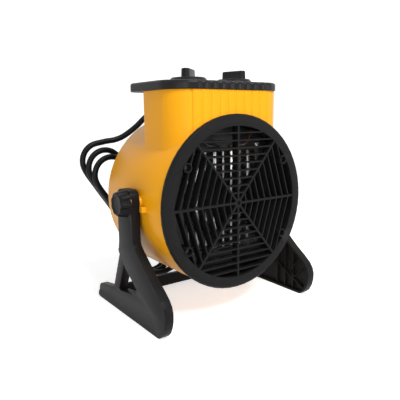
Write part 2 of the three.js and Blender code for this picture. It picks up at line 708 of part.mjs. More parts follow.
function fanImpeller() {
  const hub = rodBack(fanHubRadius, fanFront, fanRear);
  const root = fanHubRadius - 2 * bladeThickness;
  const blades = Array.from({ length: bladeCount }, (_, i) => {
    const box = new THREE.BoxGeometry(fanTipRadius - root, bladeChord, bladeThickness);
    box.rotateX(bladePitch).translate((root + fanTipRadius) / 2, (fanFront + fanRear) / 2, 0);
    return toSolid(box.rotateY((fullTurn * i) / bladeCount));
  });
  const bore = rodBack(shaftRadius + gap, fanFront - overrun, fanRear + overrun, 0, 0, smallSides);
  return cut(join(hub, ...blades), bore);
}
addNode(head, "fan_impeller", fanImpeller(), plastic(0x4a4c50));
const motorShaft = rodBack(shaftRadius, fanFront + shaftTail, motorRear + shaftTail, 0, 0, smallSides);
addNode(head, "motor_shaft", motorShaft, steel());

function motorBracket() {
  const reach = boreRadius - gap;
  const [front, rear] = [bracketFront, bracketFront + bracketThickness];
  const arms = join(block(-reach, reach, front, rear, -bracketArm / 2, bracketArm / 2),
    block(-bracketArm / 2, bracketArm / 2, front, rear, -reach, reach));
  const disc = rodBack(reach, front - overrun, rear + overrun, 0, 0, barrelSides);
  const bore = rodBack(shaftRadius + gap, front - overrun, rear + overrun, 0, 0, smallSides);
  return cut(arms.intersect(disc), bore);
}
addNode(head, "motor_bracket", motorBracket(), darkSteel());
addNode(head, "motor_body", cut(
  block(-motorHalf, motorHalf, motorFront, motorFront + motorStack, -motorHalf, motorHalf)
    .add(rodBack(motorBell, motorFront, motorRear)),
  rodBack(shaftRadius + gap, motorFront - overrun, motorRear + overrun, 0, 0, smallSides)), darkSteel());

// Wires from the terminal block, down through the barrel to the core's upper rail
const wireRadius = 1.3;
const wireSteps = 18;
const wireSides = 6;
const wireEndX = 8.5; // where a wire ends on the core's rail
const wireBendX = 17;
const wireLeadX = 28.5;
const clampX = 10.2; // where a wire enters the terminal block
const wireEntry = 5.2; // straight run before the terminal block
function wirePath(side) {
  const rail = coreHalfHeight + frameRail / 2;
  const top = terminalSeatTop + terminalHeight / 2;
  return smoothThrough([
    [side * wireEndX, coreFront - gap - wireRadius, rail],
    [side * wireBendX, wireHoleY - wireRadius, rail + wireRadius],
    [side * wireLeadX, wireHoleY - wireRadius, rail + 2 * wireRadius],
    [side * wireHoleX, wireHoleY, (rail + boreRadius) / 2],
    [side * wireHoleX, wireHoleY, boreRadius],
    [side * wireLeadX, (wireHoleY + terminalFront) / 2, top],
    [side * clampX, terminalFront - wireEntry, top],
    [side * clampX, terminalFront - gap, top],
  ].map((p) => new THREE.Vector3(...p)));
}
addNode(head, "wire_neutral", tube(wirePath(-1), wireRadius, wireSides, wireSteps), plastic(0x2a4d8f));
addNode(head, "wire_live", tube(wirePath(1), wireRadius, wireSides, wireSteps), plastic(0x6b3a22));

// Stand legs, seen from the side: [share of the toe or heel length, share of the pivot height].
// A place before the tilt axis has a negative share of the toe, one behind it a share of the heel.
const legInner = pivotBossFace + gap;
const legOuter = legInner + legThickness;
const armFront = 6.75; // tilt axis to the arm's front edge
const armRear = 27.05;
const armTop = 14;
const armCorner = 11;
const armCornerSteps = 3;
const spineProud = 3; // the spine stands out beyond the foot and the rear strut
const legWall = 2.8;
const legBossRadius = 11.5;
const ribWidth = 1.4;
const boltRadius = 3.9;
const boltHole = boltRadius + gap;
const legFrontShares = [
  [-0.092, 0.676], [-0.128, 0.643], [-0.2, 0.607], [-0.386, 0.526], [-0.585, 0.44], [-0.779, 0.367],
  [-0.904, 0.315], [-0.97, 0.268], [-1, 0.217], [-0.995, 0.154], [-0.966, 0.099], [-0.918, 0.048],
  [-0.824, 0],
];
const legRearShares = [
  [0.925, 0], [0.981, 0.018], [1, 0.051], [0.986, 0.096], [0.932, 0.129],
  [0.561, 0.172], [0.532, 0.19], [0.335, 0.525], [0.291, 0.588],
];
const armFrontShare = 0.81;
const armRearShare = 0.647;
const windowShares = [
  [-0.031, 0.217], [0.404, 0.173], [0.232, 0.445], [0.205, 0.452], [-0.087, 0.3], [-0.087, 0.245],
];
const spineShares = [
  [0.266, 0.555], [0.222, 0.527], [0.109, 0.441], [0.01, 0.393], [-0.17, 0.325], [-0.487, 0.228],
  [-0.627, 0.191], [-0.667, 0.156],
];
const bevelShares = [[-0.667, 0.136], [1, 0.022]]; // the foot's outer side slants below this line
const ribShares = [0.22, 0.42, 0.62]; // of the toe, before the tilt axis
const floorEdgeShare = 0.012;

const legPoint = ([along, up]) => [pivotY + along * (along < 0 ? legToe : legHeel), up * pivotHeight];

function legOutline() {
  const corner = (y, start) => Array.from({ length: armCornerSteps + 1 }, (_, i) => {
    const angle = start + (quarterTurn * i) / armCornerSteps;
    const z = pivotHeight + armTop - armCorner;
    return [y + armCorner * Math.cos(angle), z + armCorner * Math.sin(angle)];
  });
  return [
    ...corner(pivotY + armRear - armCorner, 0),
    ...corner(pivotY - armFront + armCorner, quarterTurn),
    [pivotY - armFront, armFrontShare * pivotHeight],
    ...legFrontShares.map(legPoint),
    ...legRearShares.map(legPoint),
    [pivotY + armRear, armRearShare * pivotHeight],
  ];
}

// Crossbar between the feet: as high as the barrel's rear edge leaves room for when it tilts
const crossbarShare = 0.706; // of the heel length, behind the tilt axis
const crossbarThickness = 8;
const crossbarLift = 2.5;
const crossbarClear = 5;
const crossbarTongue = 5.5; // how far each end seats in a leg
const crossbarY = pivotY + crossbarShare * legHeel;
const crossbarFront = crossbarY - crossbarThickness / 2;
const sweep = Math.hypot(barrelDepth - pivotDepth, barrelRadius + pivotRise) + crossbarClear;
const crossbarTop = pivotHeight - Math.sqrt(sweep ** 2 - (crossbarFront - pivotY) ** 2);

function crossbar(grow, reach) {
  return block(-reach, reach, crossbarFront - grow, crossbarFront + crossbarThickness + grow,
    crossbarLift - grow, crossbarTop + grow);
}

function leg() {
  const outline = legOutline();
  const window = windowShares.map(legPoint);
  const skin = legOuter - spineProud;
  const body = cut(prismAcross(polygon(outline), legInner, legOuter),
    prismAcross(polygon(window), legInner - overrun, legOuter + overrun));

  // Outer recess behind the spine, down to the line where the foot slants out again
  const spine = spineShares.map(legPoint);
  const [bevelFront, bevelRear] = bevelShares.map(legPoint);
  const beyond = bevelRear[0] + legHeel;
  const [armY, armZ] = [pivotY + armRear, armRearShare * pivotHeight];
  const recess = [[armY, armZ], ...spine, bevelFront, bevelRear, [beyond, bevelRear[1]], [beyond, armZ]];
  const slantFoot = floorEdgeShare * pivotHeight;
  const slant = [bevelFront, bevelRear].flatMap(([y, z]) => [
    [skin, y, z],
    [skin, y, z + overrun],
    [legOuter + overrun, y, z + overrun],
    [legOuter + overrun, y, slantFoot],
    [legOuter, y, slantFoot],
  ]);
  const outside = prismAcross(polygon(recess), skin, legOuter + overrun);
  const slanted = toSolid(new ConvexGeometry(slant.map((p) => new THREE.Vector3(...p))));

  // Hollow inner side: a rim all round, a boss at the pivot, a socket for the crossbar and ribs
  const pocketDepth = skin - legWall;
  const hollow = prismAcross(polygon(inset(outline, legWall)), legInner - overrun, pocketDepth);
  const fillFrom = legInner - 2 * overrun;
  const windowRim = prismAcross(polygon(inset(window, -legWall)), fillFrom, pocketDepth + overrun);
  const pivotBoss = rodAcross(legBossRadius, fillFrom, pocketDepth + overrun, pivotY, pivotHeight);
  const socket = block(fillFrom, pocketDepth + overrun, crossbarFront - legWall,
    crossbarFront + crossbarThickness + legWall, -legWall, crossbarTop + legWall);
  const ribs = ribShares.map((share) => {
    const front = pivotY - share * legToe - ribWidth / 2;
    return block(fillFrom, pocketDepth + overrun, front, front + ribWidth, 0, pivotHeight);
  });
  const pocket = cut(hollow, windowRim, pivotBoss, socket, ...ribs);
  const tongue = crossbar(gap, legInner + crossbarTongue + gap);
  const hole = rodAcross(boltHole, legInner - overrun, legOuter + overrun, pivotY, pivotHeight, smallSides);
  return cut(body, outside, slanted, pocket, tongue, hole);
}
for (const [name, side] of sideNames) {
  addNode(stand, `stand_leg_${name}`, mirrored(leg(), side), black());
}
addNode(stand, "stand_crossbar", crossbar(0, legInner + crossbarTongue), black());

// Clamp knobs on the tilt axis: washer, bolt and the threaded insert in the head's boss
const washerRadius = 9.5;
const washerThickness = 2;
const clampRadius = 15.2;
const clampFace = 13.2; // radius at the outer face
const clampLength = 12.2;
const clampDish = 1.2;
const clampFlutes = 9;
const clampFluteRadius = 2.2;
const clampEdge = 1;
const clampBolt = 8.5; // how far the bolt reaches into the knob
const insertLength = pivotBossIn + pivotBossOut - 2 * gap;
const washerInner = legOuter + gap;
const clampInner = washerInner + washerThickness + gap;

function clampKnob() {
  const outer = clampInner + clampLength;
  const body = turnedAcross([
    [0, clampInner],
    [clampRadius - clampEdge, clampInner],
    [clampRadius, clampInner + clampEdge],
    [clampFace, outer - clampEdge],
    [clampFace - clampEdge, outer],
    [clampFace - 2 * clampEdge, outer],
    [clampFace / 2, outer - clampDish],
    [0, outer - clampDish],
  ]);
  const place = clampRadius + clampFluteRadius / 2;
  const grooves = Array.from({ length: clampFlutes }, (_, i) => {
    const angle = (fullTurn * i) / clampFlutes;
    return rodAcross(clampFluteRadius, clampInner - overrun, outer - 2 * clampEdge, place * Math.cos(angle),
      place * Math.sin(angle), smallSides / 2);
  });
  const bore = rodAcross(boltHole, clampInner - overrun, clampInner + clampBolt + gap, 0, 0, smallSides);
  return cut(body, ...grooves, bore);
}
for (const [name, side] of sideNames) {
  const axis = new THREE.Group();
  axis.position.set(0, pivotDepth, pivotRise);
  head.add(axis);
  const insertInner = barrelRadius - pivotBossIn + gap;
  const insert = cut(rodAcross(insertRadius, insertInner, insertInner + insertLength),
    rodAcross(boltHole, insertInner - overrun, insertInner + insertLength + overrun, 0, 0, smallSides));
  const bolt = rodAcross(boltRadius, insertInner, clampInner + clampBolt, 0, 0, smallSides);
  const washer = cut(rodAcross(washerRadius, washerInner, washerInner + washerThickness),
    rodAcross(boltHole, washerInner - overrun, washerInner + washerThickness + overrun, 0, 0, smallSides));
  addNode(axis, `pivot_insert_${name}`, mirrored(insert, side), brass());
  addNode(axis, `clamp_bolt_${name}`, mirrored(bolt, side), steel());
  addNode(axis, `clamp_washer_${name}`, mirrored(washer, side), steel());
  addNode(axis, `clamp_knob_${name}`, mirrored(clampKnob(), side), black());
}

// Cord gland in the neck's rear wall, with its tapered boot
const glandFlange = 9.5;
const glandFlangeDepth = 7;
const glandBoot = 36; // from the neck's wall to the boot's end
const glandTip = cordRadius + 1.2;
const cordGland = turnedBack([
  [0, neckRear - barrelWall - gap],
  [glandShank, neckRear - barrelWall - gap],
  [glandShank, neckRear + gap],
  [glandFlange, neckRear + gap],
  [glandFlange, neckRear + glandFlangeDepth],
  [glandShank, neckRear + glandFlangeDepth],
  [glandTip, neckRear + glandBoot],
  [0, neckRear + glandBoot],
]);
addNode(head, "cord_gland", cordGland, rubber()).position.set(glandX, 0, glandZ);

// Hank of cord behind the heater. It stands on its lower bends and leans to the left.
// A turn runs over the top, down one side, under the bottom and up the other side.
const hankTurns = 2; // whole turns, and then the last one ends on the floor
const hankRun = 159.9;
const hankLean = radians(27.1);
const hankFootX = -8; // middle of the lower bends
const hankBack = 195.5; // bezel plane to the rearmost layer
const hankBend = 3.05 * cordDiameter; // radius at the folds
const hankLayer = cordDiameter + 0.95; // every turn lies this much further forward
const hankPinch = 0.277; // share by which the runs draw together at the waist
const hankShorter = 10; // every turn's top is this much lower
const hankStart = radians(-17.5); // where the first turn starts, before the top of its bend
const hankBendSteps = 4; // in a quarter turn
const hankRunShares = [0, 0.2, 0.42, 0.58, 0.8]; // flat between the middle two, under the tie
const hankSides = 6;
const floorClear = 0.2;
const hankFootZ = hankBend + cordRadius + floorClear;
const hankLeft = new THREE.Vector3(-Math.cos(hankLean), 0, -Math.sin(hankLean));
const hankUp = new THREE.Vector3(-Math.sin(hankLean), 0, Math.cos(hankLean));
const hankPlace = (up, left, layer) =>
  new THREE.Vector3(hankFootX, hankBack + headPlace.y - layer * hankLayer, hankFootZ)
    .addScaledVector(hankUp, up).addScaledVector(hankLeft, left);
const waist = (share) => 1 - hankPinch * (1 - (2 * share - 1) ** 2) ** 2;
const easing = (share) => share * share * (3 - 2 * share);
const steps = (count, from, to) => Array.from({ length: count }, (_, i) => from + ((to - from) * i) / count);

function hankTurn(turn) {
  const run = hankRun - turn * hankShorter;
  const nextRun = run - hankShorter;
  const overTop = (a) => hankPlace(run + hankBend * Math.cos(a), hankBend * Math.sin(a), turn);
  const down = (s) => hankPlace(run * (1 - s), hankBend * waist(s), turn + easing(s));
  const under = (a) => hankPlace(-hankBend * Math.sin(a), hankBend * Math.cos(a), turn + 1);
  const up = (s) => hankPlace(nextRun * s, -hankBend * waist(s), turn + 1);
  const toTop = (a) => hankPlace(nextRun + hankBend * Math.cos(a), hankBend * Math.sin(a), turn + 1);
  const points = [
    ...(turn === 0 ? [overTop(hankStart)] : []),
    ...steps(hankBendSteps, 0, quarterTurn).map(overTop),
    ...hankRunShares.map(down),
  ];
  const lowest = quarterTurn - hankLean;
  if (turn === hankTurns) return [...points, ...steps(hankBendSteps, 0, lowest).map(under), under(lowest)];
  return [
    ...points,
    ...steps(2 * hankBendSteps, 0, 2 * quarterTurn).map(under),
    ...hankRunShares.map(up),
    ...steps(hankBendSteps, -quarterTurn, 0).map(toTop),
  ];
}
const hankHeading = hankLeft.clone().multiplyScalar(Math.cos(hankStart))
  .addScaledVector(hankUp, -Math.sin(hankStart));
const hankPath = steps(hankTurns + 1, 0, hankTurns + 1).flatMap(hankTurn);
hankPath.unshift(hankPath[0].clone().addScaledVector(hankHeading, -cordDiameter));
hankPath.push(hankPath.at(-1).clone().addScaledVector(axisX, cordDiameter));

// A curve whose steps fall on its points, so that the folds get more of them than the runs
function stepped(points) {
  const curve = smoothThrough(points);
  curve.getPointAt = curve.getPoint;
  curve.getTangentAt = curve.getTangent;
  return curve;
}
const hankCurve = stepped(hankPath);
addNode(stand, "cord_hank", tube(hankCurve, cordRadius, hankSides, hankPath.length - 1), rubber());

// Least distance between two stretches of the hank's surface
function leastGap(curve, samples) {
  const points = curve.getPoints(samples);
  const lengths = curve.getLengths(samples);
  const apart = Math.PI * hankBend;
  let least = Infinity;
  points.forEach((p, i) => points.slice(0, i).forEach((q, j) => {
    if (lengths[i] - lengths[j] > apart) least = Math.min(least, p.distanceTo(q));
  }));
  return least - cordDiameter;
}
console.log("least gap of the hank to itself, mm:", leastGap(hankCurve, 10 * hankPath.length).toFixed(2));

// Free stretch from the gland down to the hank, its points measured from the bezel's centre
const cordSides = 10;
const cordStepShare = 1.25; // of the cord's diameter, per step
const leadPoints = [
  [-6.6, 133, 109.3], [-10.5, 144, 108.3], [-15.2, 154.4, 105.5], [-20.3, 163.8, 100.5],
  [-25.1, 171.9, 93.4], [-29.6, 179.7, 85.8], [-34.6, 185.5, 79.9], [-41.3, 189.8, 74.1],
  [-49.4, 192.5, 69.4], [-58.9, 194.3, 66.5],
];
const leadStart = new THREE.Vector3(glandX, neckRear + glandBoot + gap, glandZ).add(headPlace);
const leadPath = [
  leadStart,
  leadStart.clone().addScaledVector(axisY, cordDiameter),
  ...leadPoints.map((p) => new THREE.Vector3(...p).add(headPlace)),
  hankPath[0].clone().addScaledVector(hankHeading, -gap - cordDiameter),
  hankPath[0].clone().addScaledVector(hankHeading, -gap),
];
function cordStretch(points) {
  const curve = smoothThrough(points);
  return tube(curve, cordRadius, cordSides, Math.ceil(curve.getLength() / (cordStepShare * cordDiameter)));
}
addNode(stand, "cord_lead", cordStretch(leadPath), rubber());

// Tie round the hank's waist
const tieHeight = 9;
const tieThickness = 1.6;
const tieClear = 0.5;
const tieCorner = cordRadius;
function cordTie() {
  const halfWidth = hankBend * waist(hankRunShares[2]) + cordRadius + tieClear;
  const halfDepth = (hankTurns * hankLayer) / 2 + cordRadius + tieClear;
  const plan = (grow) => roundedPlan(halfWidth + grow, -halfDepth - grow, halfDepth + grow,
    tieCorner + grow, tieCorner + grow);
  const band = cut(prismUp(plan(tieThickness), -tieHeight / 2, tieHeight / 2),
    prismUp(plan(0), -tieHeight / 2 - overrun, tieHeight / 2 + overrun));
  return band;
}
const tie = addNode(stand, "cord_tie", cordTie(), rubber());
tie.rotation.y = -hankLean;
tie.position.copy(hankPlace((hankRun - hankShorter) / 2, 0, (hankTurns + 1) / 2));

// Last stretch on the floor, up into the plug
const plugRear = 38;
const plugHalfHeight = 13;
const plugHalfWidth = 18;
const plugCorner = 6;
const plugNeckTip = 5.5;
const plugNeckRadius = 8.6;
const plugNeckLength = 14;
const plugLength = 24;
const pinRadius = 2.4;
const pinPitch = 19;
const pinLength = 19;
const pinSeat = 8;
const plugY = hankPath.at(-1).y;
const plugZ = plugHalfHeight + floorClear;
const plugFront = plugRear + plugNeckLength + plugLength;
const tailStart = hankPath.at(-1).clone().addScaledVector(axisX, gap);
const tailEnd = new THREE.Vector3(plugRear - gap, plugY, plugZ);
const tailMiddle = tailStart.clone().add(tailEnd).divideScalar(2);
addNode(stand, "cord_tail", cordStretch([
  tailStart,
  tailStart.clone().addScaledVector(axisX, cordRadius),
  tailMiddle,
  tailEnd.clone().addScaledVector(axisX, -cordRadius),
  tailEnd,
]), rubber());
const plugSection = () => roundedPlan(plugHalfWidth, -plugHalfHeight, plugHalfHeight, plugCorner, plugCorner);
const plugBody = cut(
  toSolid(extruded(plugSection(), plugLength).applyMatrix4(sideView).translate(plugFront - plugLength, 0, 0))
    .add(turnedAcross([
      [0, plugRear],
      [plugNeckTip, plugRear],
      [plugNeckRadius, plugRear + plugNeckLength],
      [plugNeckRadius, plugRear + plugNeckLength + overrun],
      [0, plugRear + plugNeckLength + overrun],
    ])),
  ...sideNames.map(([, side]) => rodAcross(pinRadius + gap, plugFront - pinSeat - gap, plugFront + overrun,
    (side * pinPitch) / 2, 0, smallSides)),
);
addNode(stand, "plug_body", plugBody, rubber()).position.set(0, plugY, plugZ);
sideNames.forEach(([, side], i) => {
  const pin = rodAcross(pinRadius, plugFront - pinSeat, plugFront + pinLength,
    (side * pinPitch) / 2, 0, smallSides);
  addNode(stand, `plug_pin_${i + 1}`, pin, metal(0xb5974a)).position.set(0, plugY, plugZ);
});

export default heater;
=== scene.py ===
# %% [markdown]
# # A ceramic fan heater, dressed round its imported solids
#
# The real thing is a yellow barrel with a black web grille in front and a control housing on
# top. It tilts between two A-shaped legs, and its power cord hangs down behind it in a hank.
# The solids come in first and stay where they are. Everything made here either gives a solid
# its finish, or stands in for it with more detail.

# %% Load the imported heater
import math

import bmesh
import bpy
from mathutils import Matrix, Vector


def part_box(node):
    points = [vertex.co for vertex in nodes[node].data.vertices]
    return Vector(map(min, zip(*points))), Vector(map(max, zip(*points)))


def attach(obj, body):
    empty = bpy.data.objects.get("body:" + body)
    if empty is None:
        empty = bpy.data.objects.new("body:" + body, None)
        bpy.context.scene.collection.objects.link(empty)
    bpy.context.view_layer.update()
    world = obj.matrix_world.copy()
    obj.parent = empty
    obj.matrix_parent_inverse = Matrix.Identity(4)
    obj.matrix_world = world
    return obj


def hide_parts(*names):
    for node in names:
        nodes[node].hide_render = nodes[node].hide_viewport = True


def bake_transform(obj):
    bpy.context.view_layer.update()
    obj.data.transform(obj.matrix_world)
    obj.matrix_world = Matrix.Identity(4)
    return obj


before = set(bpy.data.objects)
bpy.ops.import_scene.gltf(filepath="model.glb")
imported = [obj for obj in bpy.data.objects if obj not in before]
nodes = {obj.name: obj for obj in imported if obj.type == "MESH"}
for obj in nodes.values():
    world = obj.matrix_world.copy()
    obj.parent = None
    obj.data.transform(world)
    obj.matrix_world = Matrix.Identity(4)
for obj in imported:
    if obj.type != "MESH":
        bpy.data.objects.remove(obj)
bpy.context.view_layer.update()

# %% [markdown]
# ## The camera
#
# A photograph's camera is found by matching circles and straight edges of the object. Here
# the round bezel, the lid and the feet gave the place, the direction and the lens. A camera
# in Blender looks along its own -Z, so its matrix is made of its right, up and back
# directions. That is more exact than aiming it by hand.

# %% Place the camera
MM = 0.001
SENSOR_MM = 36
PHOTO_PIXELS = 400
FOCAL_PIXELS = 470
CAMERA_PLACE = Vector((-339.04, -470.13, 229.65)) * MM
CAMERA_AZIMUTH = math.radians(-35.355)
CAMERA_ELEVATION = math.radians(10.228)
CAMERA_ROLL = math.radians(-0.645)


def camera_matrix(place, azimuth, elevation, roll):
    back = Vector((
        math.sin(azimuth) * math.cos(elevation),
        -math.cos(azimuth) * math.cos(elevation),
        math.sin(elevation),
    ))
    right = (-back).cross(Vector((0, 0, 1))).normalized()
    up = back.cross(right)
    turned_right = math.cos(roll) * right + math.sin(roll) * up
    turned_up = math.cos(roll) * up - math.sin(roll) * right
    rotation = Matrix((turned_right, turned_up, back)).transposed().to_4x4()
    return Matrix.Translation(place) @ rotation


camera = bpy.data.objects.new("camera", bpy.data.cameras.new("camera"))
bpy.context.scene.collection.objects.link(camera)
camera.data.sensor_width = SENSOR_MM
camera.data.lens = SENSOR_MM * FOCAL_PIXELS / PHOTO_PIXELS
camera.data.clip_start = 0.01
camera.data.clip_end = 50
camera.matrix_world = camera_matrix(CAMERA_PLACE, CAMERA_AZIMUTH, CAMERA_ELEVATION, CAMERA_ROLL)
bpy.context.scene.camera = camera
print("lens", round(camera.data.lens, 1), "mm")

# %% [markdown]
# ## The power cord
#
# A rubber lead of about 8 mm leaves the housing through a strain relief, drops to the rear
# and is folded into a hank of long loops. A curve object with a round bevel would do; here
# the cord is a mesh tube, whose upper end leaves the tilting head. So its centre line is
# worked out first, and rings of points are set along it.

# %% The cord's centre line
CORD_DIAMETER = 7.8 * MM
CORD_RADIUS = CORD_DIAMETER / 2
HEAD_PLACE = Vector((0, -66.6, 131)) * MM  # the bezel's centre
HANK_TURNS = 2
HANK_RUN = 159.9 * MM
HANK_LEAN = math.radians(27.1)
HANK_BEND = 3.05 * CORD_DIAMETER
HANK_LAYER = CORD_DIAMETER + 0.95 * MM
HANK_PINCH = 0.277
HANK_SHORTER = 10 * MM
HANK_START = math.radians(-17.5)
HANK_BEND_STEPS = 4
HANK_RUN_SHARES = (0, 0.2, 0.42, 0.58, 0.8)
HANK_FOOT = Vector((-8 * MM, HEAD_PLACE.y + 195.5 * MM, HANK_BEND + CORD_RADIUS + 0.2 * MM))
HANK_LEFT = Vector((-math.cos(HANK_LEAN), 0, -math.sin(HANK_LEAN)))
HANK_UP = Vector((-math.sin(HANK_LEAN), 0, math.cos(HANK_LEAN)))
QUARTER = math.pi / 2


def hank_place(up, left, layer):
    forward = Vector((0, -layer * HANK_LAYER, 0))
    return HANK_FOOT + forward + HANK_UP * up + HANK_LEFT * left


def waist(share):
    return 1 - HANK_PINCH * (1 - (2 * share - 1) ** 2) ** 2


def easing(share):
    return share * share * (3 - 2 * share)


def steps(count, start, end):
    return [start + (end - start) * i / count for i in range(count)]


def hank_turn(turn):
    run = HANK_RUN - turn * HANK_SHORTER
    next_run = run - HANK_SHORTER
    bend = HANK_BEND

    def over_top(a):
        return hank_place(run + bend * math.cos(a), bend * math.sin(a), turn)

    def down(s):
        return hank_place(run * (1 - s), bend * waist(s), turn + easing(s))

    def under(a):
        return hank_place(-bend * math.sin(a), bend * math.cos(a), turn + 1)

    def up(s):
        return hank_place(next_run * s, -bend * waist(s), turn + 1)

    def to_top(a):
        return hank_place(next_run + bend * math.cos(a), bend * math.sin(a), turn + 1)

    points = [over_top(HANK_START)] if turn == 0 else []
    points += [over_top(a) for a in steps(HANK_BEND_STEPS, 0, QUARTER)]
    points += [down(s) for s in HANK_RUN_SHARES]
    lowest = QUARTER - HANK_LEAN
    if turn == HANK_TURNS:
        return points + [under(a) for a in steps(HANK_BEND_STEPS, 0, lowest)] + [under(lowest)]
    points += [under(a) for a in steps(2 * HANK_BEND_STEPS, 0, 2 * QUARTER)]
    points += [up(s) for s in HANK_RUN_SHARES]
    return points + [to_top(a) for a in steps(HANK_BEND_STEPS, -QUARTER, 0)]


hank_heading = HANK_LEFT * math.cos(HANK_START) - HANK_UP * math.sin(HANK_START)
hank_points = [point for turn in range(HANK_TURNS + 1) for point in hank_turn(turn)]
hank_start = hank_points[0] - hank_heading * CORD_DIAMETER
hank_end = hank_points[-1] + Vector((CORD_DIAMETER, 0, 0))

GLAND_PLACE = Vector((-5, 77.2, 109.5)) * MM + HEAD_PLACE
GLAND_LENGTH = 36 * MM
cord_exit = GLAND_PLACE + Vector((0, GLAND_LENGTH, 0))
LEAD_POINTS = (
    (-6.6, 133, 109.3), (-10.5, 144, 108.3), (-15.2, 154.4, 105.5), (-20.3, 163.8, 100.5),
    (-25.1, 171.9, 93.4), (-29.6, 179.7, 85.8), (-34.6, 185.5, 79.9), (-41.3, 189.8, 74.1),
    (-49.4, 192.5, 69.4), (-58.9, 194.3, 66.5),
)
PLUG_REAR = Vector((38 * MM, hank_end.y, 13.2 * MM))
tail_middle = (hank_end + PLUG_REAR) / 2
route = [
    cord_exit,
    cord_exit + Vector((0, CORD_DIAMETER, 0)),
    *[Vector(point) * MM + HEAD_PLACE for point in LEAD_POINTS],
    hank_start - hank_heading * CORD_DIAMETER,
    hank_start,
    *hank_points,
    hank_end,
    hank_end + Vector((CORD_RADIUS, 0, 0)),
    tail_middle,
    PLUG_REAR - Vector((CORD_RADIUS, 0, 0)),
    PLUG_REAR,
]
print("the cord's route has", len(route), "points")

# %% [markdown]
# A route of a few points needs a smooth line through them. A centripetal Catmull-Rom curve
# passes through every point and makes no loops where the points stand unevenly, which suits
# long runs with tight folds between them. The line is then cut into even short steps.


# %% A smooth line through the route
def smooth_line(points, step):
    ends = [2 * points[0] - points[1], *points, 2 * points[-1] - points[-2]]
    fine = []
    pieces_per_span = 24
    for i in range(1, len(ends) - 2):
        before, start, end, after = ends[i - 1:i + 3]
        d0, d1, d2 = [math.sqrt((b - a).length) for a, b in ((before, start), (start, end), (end, after))]
        leave = ((start - before) / d0 - (end - before) / (d0 + d1) + (end - start) / d1) * d1
        arrive = ((end - start) / d1 - (after - start) / (d1 + d2) + (after - end) / d2) * d1
        for k in range(pieces_per_span):
            t = k / pieces_per_span
            square = 3 * (end - start) - 2 * leave - arrive
            cube = 2 * (start - end) + leave + arrive
            fine.append(start + leave * t + square * t * t + cube * t ** 3)
    fine.append(points[-1].copy())
    lengths = [0.0]
    for a, b in zip(fine, fine[1:]):
        lengths.append(lengths[-1] + (b - a).length)
    count = max(2, round(lengths[-1] / step))
    line, at = [], 0
    for k in range(count + 1):
        goal = lengths[-1] * k / count
        while at < len(fine) - 2 and lengths[at + 1] < goal:
            at += 1
        share = (goal - lengths[at]) / (lengths[at + 1] - lengths[at])
        line.append(fine[at].lerp(fine[at + 1], min(1.0, share)))
    return line, lengths[-1]


CORD_STEP = 3 * MM
cord_line, cord_length = smooth_line(route, CORD_STEP)
print("the cord is", round(cord_length, 3), "m long, in", len(cord_line), "points")

# %% [markdown]
# ## Mesh helpers
#
# Three ways of making a mesh cover nearly all of this heater: a tube along a line, a turned
# profile, and an outline pulled into a prism. Each is a few lines of bmesh, and each gives a
# closed mesh, which an exporter and a render both like best.


# %% Objects from meshes, and tubes
def add_object(name, mesh):
    piece = bpy.data.objects.new(name, mesh)
    bpy.context.scene.collection.objects.link(piece)
    return piece


def from_faces(name, points, faces):
    mesh = bpy.data.meshes.new(name)
    mesh.from_pydata([tuple(point) for point in points], [], faces)
    mesh.update()
    shape = bmesh.new()
    shape.from_mesh(mesh)
    bmesh.ops.recalc_face_normals(shape, faces=shape.faces)
    shape.to_mesh(mesh)
    shape.free()
    return add_object(name, mesh)


def tube(name, line, radius, sides):
    """A round tube along a line."""
    heading = (line[1] - line[0]).normalized()
    side = heading.orthogonal().normalized()
    points = []
    for i, place in enumerate(line):
        ahead = line[min(i + 1, len(line) - 1)] - line[max(i - 1, 0)]
        turn = heading.rotation_difference(ahead.normalized())
        side = turn @ side
        heading = ahead.normalized()
        other = heading.cross(side)
        for k in range(sides):
            angle = 2 * math.pi * k / sides
            points.append(place + (side * math.cos(angle) + other * math.sin(angle)) * radius)
    faces = []
    for i in range(len(line) - 1):
        for k in range(sides):
            a, b = i * sides + k, i * sides + (k + 1) % sides
            faces.append((a, b, b + sides, a + sides))
    faces.append(tuple(range(sides - 1, -1, -1)))
    faces.append(tuple(range(len(points) - sides, len(points))))
    return from_faces(name, points, faces)


cord = tube("power_cord", cord_line, CORD_RADIUS, 16)
print("power_cord:", len(cord.data.polygons), "faces")

# %% [markdown]
# Outlines are lists of two numbers per corner. Moulded parts have no sharp corners, so a
# helper puts an arc in each corner before the outline is pulled into a prism. A plain rod and
# an oblong are only used to drill and cut, or as part of a larger piece.


# %% Outlines, prisms and turned shapes
def rounded(outline, radius, arc_steps=5):
    """The outline with an arc in place of each corner, as large as its edges allow."""
    made = []
    count = len(outline)
    for i, corner in enumerate(outline):
        corner = Vector(corner)
        before = Vector(outline[i - 1]) - corner
        after = Vector(outline[(i + 1) % count]) - corner
        angle = before.angle(after)
        if angle > math.radians(178):
            made.append(tuple(corner))
            continue
        reach = min(radius / math.tan(angle / 2), 0.49 * before.length, 0.49 * after.length)
        start = corner + before.normalized() * reach
        end = corner + after.normalized() * reach
        for k in range(arc_steps + 1):
            t = k / arc_steps
            made.append(tuple(start * (1 - t) ** 2 + corner * 2 * t * (1 - t) + end * t * t))
    return made


PLACES = {
    "x": lambda u, v, w: (w, u, v),
    "y": lambda u, v, w: (u, w, v),
    "z": lambda u, v, w: (u, v, w),
}


def prism(name, outline, low, high, along):
    """An outline pulled from low to high along x, y or z."""
    place = PLACES[along]
    count = len(outline)
    points = [place(u, v, low) for u, v in outline] + [place(u, v, high) for u, v in outline]
    faces = [tuple(range(count)), tuple(range(2 * count - 1, count - 1, -1))]
    faces += [(i, (i + 1) % count, count + (i + 1) % count, count + i) for i in range(count)]
    return from_faces(name, points, faces)


